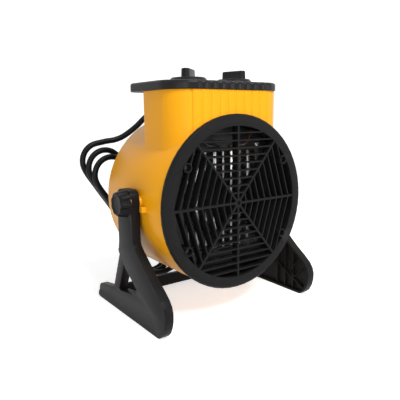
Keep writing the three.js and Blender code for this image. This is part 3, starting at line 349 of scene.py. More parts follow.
def turned(name, profile, sides, along="z", centre=(0, 0, 0)):
    """A closed profile of (radius, place) pairs turned round an axis."""
    place = PLACES[along]
    rings, points = [], []
    for radius, height in profile:
        if radius < 1e-9:
            rings.append([len(points)])
            points.append(Vector(place(0, 0, height)) + Vector(centre))
            continue
        rings.append(list(range(len(points), len(points) + sides)))
        for k in range(sides):
            angle = 2 * math.pi * k / sides
            flat = place(radius * math.cos(angle), radius * math.sin(angle), height)
            points.append(Vector(flat) + Vector(centre))
    faces = []
    pairs = list(zip(rings, rings[1:]))
    if len(rings[0]) > 1 and len(rings[-1]) > 1:
        pairs.append((rings[-1], rings[0]))
    for a, b in pairs:
        for k in range(sides):
            corners = [a[k % len(a)], a[(k + 1) % len(a)], b[(k + 1) % len(b)], b[k % len(b)]]
            face = list(dict.fromkeys(corners))
            if len(face) > 2:
                faces.append(tuple(face))
    return from_faces(name, points, faces)


def rod(name, radius, low, high, sides, along="z", centre=(0, 0, 0)):
    """A plain round rod, to drill holes with."""
    return turned(name, [(0, low), (radius, low), (radius, high), (0, high)], sides, along, centre)


def oblong(left, low, right, high):
    """The four corners of a rectangle."""
    return [(left, low), (right, low), (right, high), (left, high)]


# %% Stacked outlines
def stacked(name, layers):
    """Outlines of equal count, each at its own height, joined into one closed piece."""
    count = len(layers[0][0])
    points = [(u, v, height) for outline, height in layers for u, v in outline]
    faces = [tuple(range(count)), tuple(range(len(points) - 1, len(points) - count - 1, -1))]
    for layer in range(len(layers) - 1):
        for i in range(count):
            a, b = layer * count + i, layer * count + (i + 1) % count
            faces.append((a, b, b + count, a + count))
    return from_faces(name, points, faces)


def along_x(piece):
    """Turns a piece that was stacked along z so that it runs along x."""
    piece.data.transform(Matrix(((0, 0, 1, 0), (1, 0, 0, 0), (0, 1, 0, 0), (0, 0, 0, 1))))
    return piece


# %% [markdown]
# Where shapes are cut into or welded onto each other, a boolean modifier does it, and its
# result is kept as the piece's own mesh. The tools are deleted afterwards.


# %% Cut and weld
def keep_result(piece):
    """Puts the mesh that the modifiers make in place of the piece's own."""
    graph = bpy.context.evaluated_depsgraph_get()
    made = bpy.data.meshes.new_from_object(piece.evaluated_get(graph))
    piece.modifiers.clear()
    piece.data = made
    return piece


def combine(piece, tools, operation):
    for tool in tools:
        boolean = piece.modifiers.new(operation.lower(), "BOOLEAN")
        boolean.operation = operation
        boolean.solver = "EXACT"
        boolean.object = tool
    bpy.context.view_layer.update()
    keep_result(piece)
    for tool in tools:
        bpy.data.objects.remove(tool)
    return piece


def cut(piece, *tools):
    return combine(piece, tools, "DIFFERENCE")


def weld(piece, *tools):
    return combine(piece, tools, "UNION")


# %% [markdown]
# ## Edges that catch the light
#
# No moulded edge is sharp. Modifiers give a solid its real edges without touching its mesh:
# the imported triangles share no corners, so they are joined first, then flat areas become one
# face and the edges are rounded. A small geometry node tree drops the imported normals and
# shades smoothly across every edge that is nearly flat.


# %% Smooth shading by angle
def smoothing_tree(limit):
    tree = bpy.data.node_groups.new("smooth_flat_edges", "GeometryNodeTree")
    tree.interface.new_socket("Geometry", in_out="INPUT", socket_type="NodeSocketGeometry")
    tree.interface.new_socket("Geometry", in_out="OUTPUT", socket_type="NodeSocketGeometry")
    packed = tree.nodes.new("GeometryNodeRemoveAttribute")
    packed.inputs["Name"].default_value = "custom_normal"
    faces, all_edges, edges = [tree.nodes.new("GeometryNodeSetShadeSmooth") for _ in range(3)]
    faces.domain, all_edges.domain, edges.domain = "FACE", "EDGE", "EDGE"
    edges.inputs["Shade Smooth"].default_value = False
    angle = tree.nodes.new("GeometryNodeInputMeshEdgeAngle")
    sharp = tree.nodes.new("FunctionNodeCompare")
    sharp.operation = "GREATER_THAN"
    sharp.inputs[1].default_value = limit
    tree.links.new(angle.outputs["Unsigned Angle"], sharp.inputs[0])
    tree.links.new(sharp.outputs[0], edges.inputs["Selection"])
    geometry = tree.nodes.new("NodeGroupInput").outputs[0]
    for step in (packed, faces, all_edges, edges):
        tree.links.new(geometry, step.inputs["Geometry"])
        geometry = step.outputs[0]
    tree.links.new(geometry, tree.nodes.new("NodeGroupOutput").inputs[0])
    return tree


SMOOTH = smoothing_tree(math.radians(35))


def join_corners(piece):
    welding = piece.modifiers.new("corners", "WELD")
    welding.merge_threshold = 0.002 * MM
    return piece


def smooth(piece):
    shading = piece.modifiers.new("smooth", "NODES")
    shading.node_group = SMOOTH
    return piece


def soften(piece, width, segments=2, limit=35):
    """Rounded edges where two faces meet at more than the limit, then smooth shading."""
    flat = piece.modifiers.new("flat", "DECIMATE")
    flat.decimate_type = "DISSOLVE"
    flat.angle_limit = math.radians(0.6)
    edges = piece.modifiers.new("edges", "BEVEL")
    edges.width = width
    edges.segments = segments
    edges.limit_method = "ANGLE"
    edges.angle_limit = math.radians(limit)
    edges.use_clamp_overlap = True
    return smooth(piece)


print("modifiers ready:", SMOOTH.name)

# %% [markdown]
# ## Surface effects shared by the finishes
#
# Moulded plastic has a fine spark-eroded grain and is a little shinier where hands touch it.
# Both effects are used by many finishes, so each is a node group with its own inputs. A group
# only puts out values; the shader that uses them stays in each material.


# %% Helpers for node trees
def new_group(name, inputs, outputs):
    tree = bpy.data.node_groups.new(name, "ShaderNodeTree")
    for label, value in inputs:
        if isinstance(value, tuple):
            socket = tree.interface.new_socket(label, in_out="INPUT", socket_type="NodeSocketColor")
        else:
            socket = tree.interface.new_socket(label, in_out="INPUT", socket_type="NodeSocketFloat")
        socket.default_value = value
    for label, kind in outputs:
        tree.interface.new_socket(label, in_out="OUTPUT", socket_type=kind)
    return tree, tree.nodes.new("NodeGroupInput"), tree.nodes.new("NodeGroupOutput")


def object_space(tree, stretch=(1, 1, 1)):
    coordinates = tree.nodes.new("ShaderNodeTexCoord")
    mapping = tree.nodes.new("ShaderNodeMapping")
    mapping.inputs["Scale"].default_value = stretch
    tree.links.new(coordinates.outputs["Object"], mapping.inputs["Vector"])
    return mapping.outputs["Vector"]


def noise(tree, vector, scale, detail):
    texture = tree.nodes.new("ShaderNodeTexNoise")
    texture.inputs["Detail"].default_value = detail
    tree.links.new(vector, texture.inputs["Vector"])
    if isinstance(scale, (int, float)):
        texture.inputs["Scale"].default_value = scale
    else:
        tree.links.new(scale, texture.inputs["Scale"])
    return texture.outputs["Fac"]


def maths(tree, operation, first, second=0.0, third=0.0):
    node = tree.nodes.new("ShaderNodeMath")
    node.operation = operation
    for socket, value in zip(node.inputs, (first, second, third)):
        if isinstance(value, (int, float)):
            socket.default_value = value
        else:
            tree.links.new(value, socket)
    return node.outputs[0]


def mix_color(tree, factor, first, second):
    """One colour from a socket, mixed with a fixed one."""
    node = tree.nodes.new("ShaderNodeMix")
    node.data_type = "RGBA"
    node.inputs["B"].default_value = (*second, 1.0)
    tree.links.new(factor, node.inputs["Factor"])
    tree.links.new(first, node.inputs["A"])
    return node.outputs["Result"]


# %% Grain of moulded plastic
def moulded_grain():
    """Fine pits of a spark-eroded mould, with a faint flow of larger waves."""
    tree, enter, leave = new_group(
        "moulded_grain", [("Grain", 2600.0), ("Waves", 0.3)], [("Height", "NodeSocketFloat")])
    vector = object_space(tree)
    fine = noise(tree, vector, enter.outputs["Grain"], 3.0)
    wide = noise(tree, vector, 22.0, 1.0)
    waves = maths(tree, "MULTIPLY", wide, enter.outputs["Waves"])
    tree.links.new(maths(tree, "ADD", fine, waves), leave.inputs["Height"])
    return tree


GRAIN = moulded_grain()


# %% Handling marks and dust
def handling_marks():
    """Roughness that changes over the surface, and a thin dust on what faces up."""
    tree, enter, leave = new_group(
        "handling_marks",
        [("Roughness", 0.4), ("Spread", 0.12), ("Dust", 0.15), ("Color", (0.5, 0.5, 0.5, 1.0))],
        [("Roughness", "NodeSocketFloat"), ("Color", "NodeSocketColor")])
    vector = object_space(tree)
    cloud = noise(tree, vector, 28.0, 4.0)
    smear = noise(tree, vector, 190.0, 2.0)
    mixed = maths(tree, "MULTIPLY_ADD", smear, 0.4, maths(tree, "MULTIPLY", cloud, 0.6))
    offset = maths(tree, "MULTIPLY", maths(tree, "SUBTRACT", mixed, 0.5), enter.outputs["Spread"])
    tree.links.new(maths(tree, "ADD", enter.outputs["Roughness"], offset), leave.inputs["Roughness"])
    facing = tree.nodes.new("ShaderNodeNewGeometry")
    split = tree.nodes.new("ShaderNodeSeparateXYZ")
    tree.links.new(facing.outputs["Normal"], split.inputs[0])
    upward = maths(tree, "POWER", maths(tree, "MAXIMUM", split.outputs["Z"], 0.0), 3.0)
    settled = maths(tree, "MULTIPLY", maths(tree, "MULTIPLY", upward, cloud), enter.outputs["Dust"])
    dusty = mix_color(tree, settled, enter.outputs["Color"], (0.36, 0.34, 0.31))
    tree.links.new(dusty, leave.inputs["Color"])
    return tree


MARKS = handling_marks()


# %% Drawn or rolled metal
def drawn_metal():
    """Fine lines along one direction, as rolling or drawing leaves them."""
    tree, enter, leave = new_group(
        "drawn_metal",
        [("Roughness", 0.35), ("Spread", 0.2), ("Tint", (0.8, 0.8, 0.8, 1.0)), ("Heat", 0.0)],
        [("Roughness", "NodeSocketFloat"), ("Color", "NodeSocketColor"), ("Height", "NodeSocketFloat")])
    lines = noise(tree, object_space(tree, stretch=(1, 1, 0.04)), 1500.0, 2.0)
    patches = noise(tree, object_space(tree), 60.0, 3.0)
    offset = maths(tree, "MULTIPLY", maths(tree, "SUBTRACT", lines, 0.5), enter.outputs["Spread"])
    tree.links.new(maths(tree, "ADD", enter.outputs["Roughness"], offset), leave.inputs["Roughness"])
    heated = maths(tree, "MULTIPLY", patches, enter.outputs["Heat"])
    tinted = mix_color(tree, heated, enter.outputs["Tint"], (0.32, 0.24, 0.16))
    tree.links.new(tinted, leave.inputs["Color"])
    tree.links.new(lines, leave.inputs["Height"])
    return tree


METAL_LINES = drawn_metal()
print("node groups:", [tree.name for tree in (GRAIN, MARKS, METAL_LINES)])

# %% [markdown]
# ## The finishes
#
# Each material is a Principled shader with the groups placed in front of it. Numbers that are
# the same all over the surface are typed on the shader itself. Plastics differ in colour,
# roughness and grain; metals in tint, roughness and the marks of rolling.


# %% Plastics
def new_material(name):
    material = bpy.data.materials.new(name)
    material.use_nodes = True
    return material, material.node_tree, material.node_tree.nodes["Principled BSDF"]


def paint(piece, material):
    """One finish all over a piece."""
    piece.data.materials.clear()
    piece.data.materials.append(material)
    return piece


def place_group(tree, group, values):
    node = tree.nodes.new("ShaderNodeGroup")
    node.node_tree = group
    for label, value in values.items():
        node.inputs[label].default_value = value
    return node


def bump(tree, shader, height, distance):
    node = tree.nodes.new("ShaderNodeBump")
    node.inputs["Distance"].default_value = distance
    tree.links.new(height, node.inputs["Height"])
    tree.links.new(node.outputs["Normal"], shader.inputs["Normal"])


# inside this radius the shell's colour is near-black painted shade
INNER_RADIUS = 97 * MM  # what lies nearer than this to the barrel's axis is inside


def inner_shade_mask():
    """One inside the barrel and the neck, nought on what the outside shows: where shade is painted."""
    tree, enter, leave = new_group(
        "inner_shade_mask", [("Radius", INNER_RADIUS)], [("Mask", "NodeSocketFloat")])
    split = tree.nodes.new("ShaderNodeSeparateXYZ")
    tree.links.new(object_space(tree), split.inputs[0])
    across = split.outputs["X"]
    up = maths(tree, "SUBTRACT", split.outputs["Z"], HEAD_PLACE.z)
    distance = maths(tree, "SQRT", maths(
        tree, "ADD", maths(tree, "MULTIPLY", across, across), maths(tree, "MULTIPLY", up, up)))
    tree.links.new(maths(tree, "LESS_THAN", distance, enter.outputs["Radius"]), leave.inputs["Mask"])
    return tree


INNER_SHADE_MASK = inner_shade_mask()


def shell_plastic(name, color, roughness, **rest):
    """The shell's colour outside, with painted shade inside the barrel: near-black where the inside lies
    in shade.
    """
    material = plastic(name, color, roughness, **rest)
    tree, shader = material.node_tree, material.node_tree.nodes["Principled BSDF"]
    outside = shader.inputs["Base Color"].links[0].from_socket
    mask = place_group(tree, INNER_SHADE_MASK, {}).outputs["Mask"]
    # painted shade: the inside of the barrel is coloured near-black, as it lies in shade
    shaded_inside = mix_color(tree, mask, outside, (0.01, 0.0095, 0.009))
    tree.links.new(shaded_inside, shader.inputs["Base Color"])
    return material


def plastic(name, color, roughness, spread=0.1, dust=0.1, grain=2600.0, depth=0.02, ior=1.5):
    material, tree, shader = new_material(name)
    marks = place_group(tree, MARKS, {
        "Roughness": roughness, "Spread": spread, "Dust": dust, "Color": (*color, 1.0)})
    tree.links.new(marks.outputs["Roughness"], shader.inputs["Roughness"])
    tree.links.new(marks.outputs["Color"], shader.inputs["Base Color"])
    pits = place_group(tree, GRAIN, {"Grain": grain})
    bump(tree, shader, pits.outputs["Height"], depth * MM)
    shader.inputs["IOR"].default_value = ior
    return material


# the yellow shell, with painted shade inside the barrel
YELLOW = shell_plastic(
    "yellow_shell", (0.86, 0.37, 0.006), 0.3, spread=0.06, dust=0.02, depth=0.006, ior=1.27)
BLACK = plastic("black_plastic", (0.009, 0.0086, 0.0091), 0.42, dust=0.012, depth=0.02, ior=1.18)
BLACK_SMOOTH = plastic(
    "knob_black", (0.0105, 0.0102, 0.0106), 0.32, dust=0.012, grain=1800.0, depth=0.006, ior=1.25)
RUBBER = plastic(
    "cord_rubber", (0.006, 0.006, 0.007), 0.4, spread=0.16, dust=0.012, grain=900.0, depth=0.02, ior=1.22)
HEATPROOF = plastic("heatproof_plastic", (0.016, 0.014, 0.013), 0.6, dust=0.05)
IVORY = plastic("ivory_plastic", (0.66, 0.6, 0.48), 0.4, dust=0.05)
FAN_GREY = plastic("fan_plastic", (0.06, 0.062, 0.068), 0.45, dust=0.2)
BROWN_WIRE = plastic("brown_insulation", (0.14, 0.045, 0.022), 0.4, dust=0.02)
BLACK_WIRE = plastic("black_insulation", (0.008, 0.008, 0.01), 0.4, dust=0.02)
WHITE_INK = plastic("white_ink", (0.72, 0.72, 0.7), 0.6, dust=0.02)


# %% Metals
LINE_DEPTH = 0.01 * MM  # of the marks that rolling leaves


def metal(name, tint, roughness, heat=0.0):
    material, tree, shader = new_material(name)
    lines = place_group(tree, METAL_LINES, {
        "Roughness": roughness, "Tint": (*tint, 1.0), "Heat": heat})
    tree.links.new(lines.outputs["Roughness"], shader.inputs["Roughness"])
    tree.links.new(lines.outputs["Color"], shader.inputs["Base Color"])
    bump(tree, shader, lines.outputs["Height"], LINE_DEPTH)
    shader.inputs["Metallic"].default_value = 1.0
    return material


ALUMINIUM = metal("bare_aluminium", (0.78, 0.78, 0.79), 0.34)
FIN_METAL = metal("fin_aluminium", (0.62, 0.61, 0.6), 0.38, heat=0.35)
STEEL = metal("zinc_steel", (0.6, 0.6, 0.6), 0.32)
DARK_STEEL = metal("black_steel", (0.09, 0.09, 0.095), 0.45)
BRASS = metal("brass", (0.72, 0.52, 0.24), 0.28)
print("materials:", len(bpy.data.materials))

# %% [markdown]
# ## The stand's legs
#
# Each leg is one moulding of about 11 mm: an outline seen from the side, with a window, a
# raised spine down its front, a hollow inner side with thin ribs, and a foot that slants in
# towards the floor. It could be modelled face by face, but the outline, the recesses and the
# ribs are all prisms, so cutting and welding them is shorter and stays exact. The outline is
# in shares of the toe or heel length and of the pivot's height.

# %% The leg's outline
PIVOT = Vector((0, -13.1, 136)) * MM
TOE, HEEL = 72.2 * MM, 98.4 * MM
LEG_IN, LEG_OUT = 100.6 * MM, 111 * MM
LEG_WALL = 2.8 * MM
ARM_FRONT, ARM_REAR, ARM_TOP = 6.75 * MM, 27.05 * MM, 14 * MM
SPINE_PROUD = 3 * MM
SPINE_CHAMFER = 3.6 * MM
LEG_CORNER, POCKET_CORNER, FILLING_CORNER = 11 * MM, 9 * MM, 10 * MM
WINDOW_CORNER, RIM_CORNER = 3.5 * MM, 6 * MM
TOO_FAR = 1 * MM  # how far a cutting tool runs past a surface
FRONT_EDGE = [
    (-0.092, 0.676), (-0.128, 0.643), (-0.2, 0.607), (-0.386, 0.526), (-0.585, 0.44),
    (-0.779, 0.367), (-0.904, 0.315), (-0.97, 0.268), (-1, 0.217), (-0.995, 0.154),
    (-0.966, 0.099), (-0.918, 0.048), (-0.824, 0)]
REAR_EDGE = [
    (0.925, 0), (0.981, 0.018), (1, 0.051), (0.986, 0.096), (0.932, 0.129),
    (0.561, 0.172), (0.532, 0.19), (0.335, 0.525), (0.291, 0.588)]
WINDOW = [
    (-0.031, 0.217), (0.404, 0.173), (0.232, 0.445), (0.205, 0.452), (-0.087, 0.3), (-0.087, 0.245)]
SPINE = [
    (0.266, 0.555), (0.222, 0.527), (0.109, 0.441), (0.01, 0.393), (-0.17, 0.325),
    (-0.487, 0.228), (-0.627, 0.191), (-0.667, 0.156)]
SLANT_LINE = [(-0.667, 0.136), (1, 0.056)]  # the foot slants in below this line
FOOT_EDGE = 0.012 * PIVOT.z
ARM_REAR_END = (PIVOT.y + ARM_REAR, 0.647 * PIVOT.z)


def leg_point(share):
    along, up = share
    return PIVOT.y + along * (TOE if along < 0 else HEEL), up * PIVOT.z


def leg_outline():
    top, front, rear = PIVOT.z + ARM_TOP, PIVOT.y - ARM_FRONT, PIVOT.y + ARM_REAR
    arm = [(rear, top), (front, top), (front, 0.81 * PIVOT.z)]
    return arm + [*map(leg_point, FRONT_EDGE), *map(leg_point, REAR_EDGE), ARM_REAR_END]


def inset(outline, distance):
    """The outline, drawn anticlockwise, with its edges moved inwards."""
    moved = []
    count = len(outline)
    for i, corner in enumerate(outline):
        before = (Vector(corner) - Vector(outline[i - 1])).normalized()
        after = (Vector(outline[(i + 1) % count]) - Vector(corner)).normalized()
        normal = (Vector((-before.y, before.x)) + Vector((-after.y, after.x))).normalized()
        share = normal.dot(Vector((-before.y, before.x)))
        moved.append(tuple(Vector(corner) + normal * distance / share))
    return moved


# %% What shapes the leg's outer face
SKIN = LEG_OUT - SPINE_PROUD  # the outer face beside the spine
POCKET_FLOOR = SKIN - LEG_WALL
A_HAIR = 0.01 * MM  # so that the chamfer ends just outside the face


def beside_spine(slant_front, slant_rear):
    """What is cut away above the foot, with a chamfer along the spine."""
    beyond = slant_rear[0] + HEEL
    edge = [ARM_REAR_END, *map(leg_point, SPINE), slant_front]
    outer_edge = []
    for i, place in enumerate(edge):
        along = Vector(edge[min(i + 1, len(edge) - 1)]) - Vector(edge[max(i - 1, 0)])
        away = Vector((along.y, -along.x)).normalized() * SPINE_CHAMFER
        outer_edge.append(tuple(Vector(place) - away))
    layers = []
    for x, line in ((SKIN, edge), (LEG_OUT + A_HAIR, outer_edge)):
        layers.append(([*line, slant_rear, (beyond, slant_rear[1]), (beyond, ARM_REAR_END[1])], x))
    return along_x(stacked("beside_spine", layers))


def foot_slant(slant_front, slant_rear):
    """A wedge, cut away so that the foot slants in towards the floor."""
    points = []
    for y, z in (slant_front, slant_rear):
        points += [
            (SKIN, y, z), (SKIN, y, z + TOO_FAR), (LEG_OUT + TOO_FAR, y, z + TOO_FAR),
            (LEG_OUT + TOO_FAR, y, FOOT_EDGE), (LEG_OUT, y, FOOT_EDGE)]
    sides = [(i, (i + 1) % 5, 5 + (i + 1) % 5, 5 + i) for i in range(5)]
    return from_faces("foot_slant", points, [(0, 1, 2, 3, 4), (9, 8, 7, 6, 5), *sides])


# %% What stands in the leg's hollow side
BOLT_HOLE = 4.2 * MM
BOSS_RADIUS = 11.5 * MM
RIM_IN = 97 * MM  # the window's wall stands further in than the rest
RIB_WALL = 1.4 * MM
RIB_IN = LEG_IN + 1 * MM
RIB_LINES = [
    ((-0.22, 0.03), (-0.22, 0.66)), ((-0.42, 0.03), (-0.42, 0.56)), ((-0.62, 0.03), (-0.62, 0.5)),
    ((-0.2, 0.24), (-0.9, 0.05)), ((0.05, 0.62), (-0.42, 0.5))]
LOOP_MIDDLE = (-0.72, 0.24)
LOOP_LENGTH, LOOP_WIDTH, LOOP_TILT = 30 * MM, 13 * MM, math.radians(-48)
bar_corners = [Vector(c) for c in nodes["stand_crossbar"].bound_box]
bar_corners = [nodes["stand_crossbar"].matrix_world @ corner for corner in bar_corners]
BAR_FRONT = min(corner.y for corner in bar_corners)
BAR_REAR = BAR_FRONT + 8 * MM
BAR_PLAY, BAR_REACH = 0.3 * MM, 5.8 * MM  # round the bar's end, and how deep it sits in the leg
BAR_TOP = max(corner.z for corner in bar_corners)
SUNK = POCKET_FLOOR + 0.4 * MM  # all of it reaches a little into the leg's wall


def strip(start, end, width):
    """The four corners of a straight rib between two places."""
    a, b = Vector(start), Vector(end)
    along = (b - a).normalized()
    side = Vector((-along.y, along.x)) * width / 2
    return [tuple(a - side), tuple(b - side), tuple(b + side), tuple(a + side)]


def oval(middle, shrink, corners=24):
    """The outline of the long loop, drawn smaller by the shrink."""
    points = []
    radius = LOOP_WIDTH / 2 - shrink
    for k in range(corners):
        angle = 2 * math.pi * (k + 0.5) / corners
        u = radius * math.cos(angle) + math.copysign((LOOP_LENGTH - LOOP_WIDTH) / 2, math.cos(angle))
        v = radius * math.sin(angle)
        points.append((
            middle[0] + u * math.cos(LOOP_TILT) - v * math.sin(LOOP_TILT),
            middle[1] + u * math.sin(LOOP_TILT) + v * math.cos(LOOP_TILT)))
    return points


def hollow_side(corners, window_corners):
    """The window's wall, the bolt's boss, the crossbar's socket and the ribs, as one shape."""
    rim = prism("rim", rounded(inset(window_corners, -LEG_WALL), RIM_CORNER), RIM_IN, SUNK, "x")
    boss = turned("boss", [
        (BOSS_RADIUS, LEG_IN), (BOSS_RADIUS, SUNK), (BOLT_HOLE, SUNK), (BOLT_HOLE, LEG_IN)],
        48, "x", (0, PIVOT.y, PIVOT.z))
    socket = prism("socket", oblong(
        BAR_FRONT - LEG_WALL, -LEG_WALL, BAR_REAR + LEG_WALL, BAR_TOP + LEG_WALL), LEG_IN, SUNK, "x")
    ribs = []
    for start, end in RIB_LINES:
        line = strip(leg_point(start), leg_point(end), RIB_WALL)
        ribs.append(prism("rib", line, RIB_IN, SUNK, "x"))
    middle = leg_point(LOOP_MIDDLE)
    loop = prism("loop", oval(middle, 0), RIB_IN, SUNK, "x")
    cut(loop, prism("inside", oval(middle, RIB_WALL), RIB_IN - TOO_FAR, SUNK + TOO_FAR, "x"))
    filling = weld(rim, boss, socket, *ribs, loop)
    limit = rounded(inset(corners, LEG_WALL / 2), FILLING_CORNER, 8)
    return combine(filling, [prism("limit", limit, RIM_IN - TOO_FAR, LEG_OUT, "x")], "INTERSECT")


# %% Cut and weld one leg
def leg(name):
    corners = leg_outline()
    window_corners = [leg_point(share) for share in WINDOW]
    window = rounded(window_corners, WINDOW_CORNER)
    slant = [leg_point(share) for share in SLANT_LINE]
    pocket = rounded(inset(corners, LEG_WALL), POCKET_CORNER)
    body = prism(name, rounded(corners, LEG_CORNER, 8), LEG_IN, LEG_OUT, "x")
    cut(
        body,
        prism("window", window, LEG_IN - TOO_FAR, LEG_OUT + TOO_FAR, "x"),
        beside_spine(*slant),
        foot_slant(*slant),
        prism("pocket", pocket, LEG_IN - TOO_FAR, POCKET_FLOOR, "x"))
    weld(body, hollow_side(corners, window_corners))
    tongue = oblong(BAR_FRONT - BAR_PLAY, 2.2 * MM, BAR_REAR + BAR_PLAY, BAR_TOP + BAR_PLAY)
    cut(
        body,
        prism("window", window, RIM_IN - TOO_FAR, LEG_OUT + 2 * TOO_FAR, "x"),
        prism("tongue", tongue, LEG_IN - TOO_FAR, LEG_IN + BAR_REACH, "x"),
        rod("bolt_hole", BOLT_HOLE, LEG_IN - TOO_FAR, LEG_OUT + TOO_FAR, 32, "x", (0, PIVOT.y, PIVOT.z)))
    return paint(body, BLACK)


def other_side(piece, name):
    """A copy mirrored across the middle plane."""
    shape = bmesh.new()
    shape.from_mesh(piece.data)
    for vertex in shape.verts:
        vertex.co.x = -vertex.co.x
    bmesh.ops.reverse_faces(shape, faces=shape.faces)
    mesh = piece.data.copy()
    shape.to_mesh(mesh)
    shape.free()
    return add_object(name, mesh)


right_leg = leg("leg_right_moulding")
left_leg = other_side(right_leg, "leg_left_moulding")
for piece in (right_leg, left_leg):
    soften(piece, 0.9 * MM, 3, 30)
print("a leg:", len(right_leg.data.polygons), "faces before its edges are rounded")

# %% [markdown]
# ## The rotary controls
#
# Each control is a low turned disc with a bar-shaped grip across it. The grip narrows a
# little towards its top so that it leaves its mould, and a white line on one end shows where
# it points. The disc is a turned profile; the grip is drawn as stacked outlines.

# %% Control knobs
LID_TOP = HEAD_PLACE.z + 136.3 * MM
KNOB_BASE = LID_TOP + 0.3 * MM
KNOB_PLACES = {
    "thermostat": (Vector((-33, 48, 0)) * MM + Vector((0, HEAD_PLACE.y, 0)), math.radians(40)),
    "selector": (Vector((33, 48, 0)) * MM + Vector((0, HEAD_PLACE.y, 0)), math.radians(-74)),
}


def round_bar(length, width, arc_steps=12):
    points = []
    for end in (1, -1):
        for k in range(arc_steps + 1):
            angle = -QUARTER + math.pi * k / arc_steps
            points.append((
                end * (length / 2 - width / 2 + width / 2 * math.cos(angle)),
                end * width / 2 * math.sin(angle)))
    return points


DISC_PROFILE = [
    (0, 0), (20.7, 0), (21.2, 0.3), (21.3, 0.9), (21.0, 1.4), (19.6, 3.2), (19.0, 3.7), (18.2, 3.8),
    (17.4, 3.5), (0, 3.5)]
GRIP_LAYERS = [  # height, length and width
    (1.4, 31.9, 9.9), (8, 31.5, 9.5), (11.7, 31.2, 9.2), (12.7, 30.8, 8.8), (13.2, 30.1, 8.1),
    (13.4, 29, 7)]
GRIP_TOP = 15 * MM  # above every part of the grip
SPINDLE_HOLE = 3.3 * MM


def control_knob(name, place, angle):
    disc = turned(name, [(radius * MM, height * MM) for radius, height in DISC_PROFILE], 96)
    layers = []
    for height, length, width in GRIP_LAYERS:
        layers.append((round_bar(length * MM, width * MM), height * MM))
    weld(disc, stacked("grip", layers))
    bore = rod("bore", SPINDLE_HOLE, -1 * MM, 9.6 * MM, 24)
    groove = prism("groove", oblong(8 * MM, -0.5 * MM, 13.6 * MM, 0.5 * MM), 13 * MM, GRIP_TOP, "z")
    notches = []
    for end in (1, -1):
        notches.append(prism("notch", [
            (end * 14.3 * MM, -1.3 * MM), (end * 18 * MM, -1.9 * MM), (end * 18 * MM, 1.9 * MM),
            (end * 14.3 * MM, 1.3 * MM)], 4.6 * MM, GRIP_TOP, "z"))
    cut(disc, bore, groove, *notches)
    line = prism(
        name + "_line", oblong(8.1 * MM, -0.45 * MM, 13.5 * MM, 0.45 * MM), 12.9 * MM, 13.25 * MM, "z")
    turn = Matrix.Translation(Vector((place.x, place.y, KNOB_BASE))) @ Matrix.Rotation(angle, 4, "Z")
    for piece, material in ((disc, BLACK_SMOOTH), (line, WHITE_INK)):
        piece.data.transform(turn)
        paint(piece, material)
    soften(disc, 0.4 * MM, 2, 40)
    return disc, line


knob_pieces = {}
for name, (place, angle) in KNOB_PLACES.items():
    knob_pieces[name] = control_knob(name + "_grip", place, angle)
print("control knobs:", [len(pieces[0].data.polygons) for pieces in knob_pieces.values()], "faces")

# %% [markdown]
# ## The lid
#
# The lid follows the neck and reaches back as the carrying grip. Flutes run over its rounded
# front edge, the outer ones on its corners, and its top falls a little to the front. A lofted
# stack of outlines can carry all of that at once: each outline is the plan drawn a bit
# smaller, with the flutes as round ribs along its front.

# %% Lid
lid_low, lid_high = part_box("top_lid")
LID_EDGE = 3 * MM  # rounding of the top edge
LID_FALL = 1.3 * MM  # how much lower the top is at the front
LID_FALL_LENGTH = 45 * MM
LID_FRONT_RADIUS, LID_REAR_RADIUS = 34.6 * MM, 14 * MM
LID_WALL, LID_CEILING = 3.2 * MM, 2.8 * MM
NECK_CORNER, GRIP_CORNER = 24 * MM, 10 * MM  # of the two hollows below
NECK_HALF = 72.5 * MM
NECK_FRONT, NECK_STEP, NECK_REAR = [HEAD_PLACE.y + y * MM for y in (9, 68, 77.2)]
FLUTE_COUNT, FLUTE_PITCH = 11, 11.5 * MM
FLUTE_DEPTH = 1.4 * MM
FLUTE_RUNOUT = 4 * MM  # how soon the outermost groove ends


def flute_share(along):
    """The outermost grooves, on the rounded corners, are shallow."""
    return min(1.0, max(0.2, 5.1 - abs(along) / FLUTE_PITCH))


def flute(along):
    """How deep the front lies here, so far from the middle along the outline."""
    reach = (FLUTE_COUNT - 1) / 2 * FLUTE_PITCH
    if abs(along) > reach:
        left = max(0.0, 1 - (abs(along) - reach) / FLUTE_RUNOUT)
        return flute_share(reach) * FLUTE_DEPTH * left ** 2
    off = 2 * abs(along / FLUTE_PITCH - round(along / FLUTE_PITCH))
    return flute_share(along) * FLUTE_DEPTH * (1 - off) ** 2.5


def lid_plan(shrink, arc_steps=36, front_steps=180):
    half, front, rear = lid_high.x - shrink, lid_low.y + shrink, lid_high.y - shrink
    r_front, r_rear = LID_FRONT_RADIUS - shrink, LID_REAR_RADIUS - shrink
    start, points = half - r_front, []
    for k in range(1, front_steps):
        x = start * (2 * k / front_steps - 1)
        points.append((x, front + flute(x)))
    for x, y, radius, turn in (
            (start, front + r_front, r_front, -1), (half - r_rear, rear - r_rear, r_rear, 0),
            (r_rear - half, rear - r_rear, r_rear, 1), (-start, front + r_front, r_front, 2)):
        for k in range(arc_steps + 1):
            angle = QUARTER * (turn + k / arc_steps)
            from_front = abs(angle + QUARTER if turn < 0 else angle - 3 * QUARTER)
            depth = flute(start + from_front * LID_FRONT_RADIUS) if radius == r_front else 0
            reach = radius - depth
            points.append((x + reach * math.cos(angle), y + reach * math.sin(angle)))
    return points


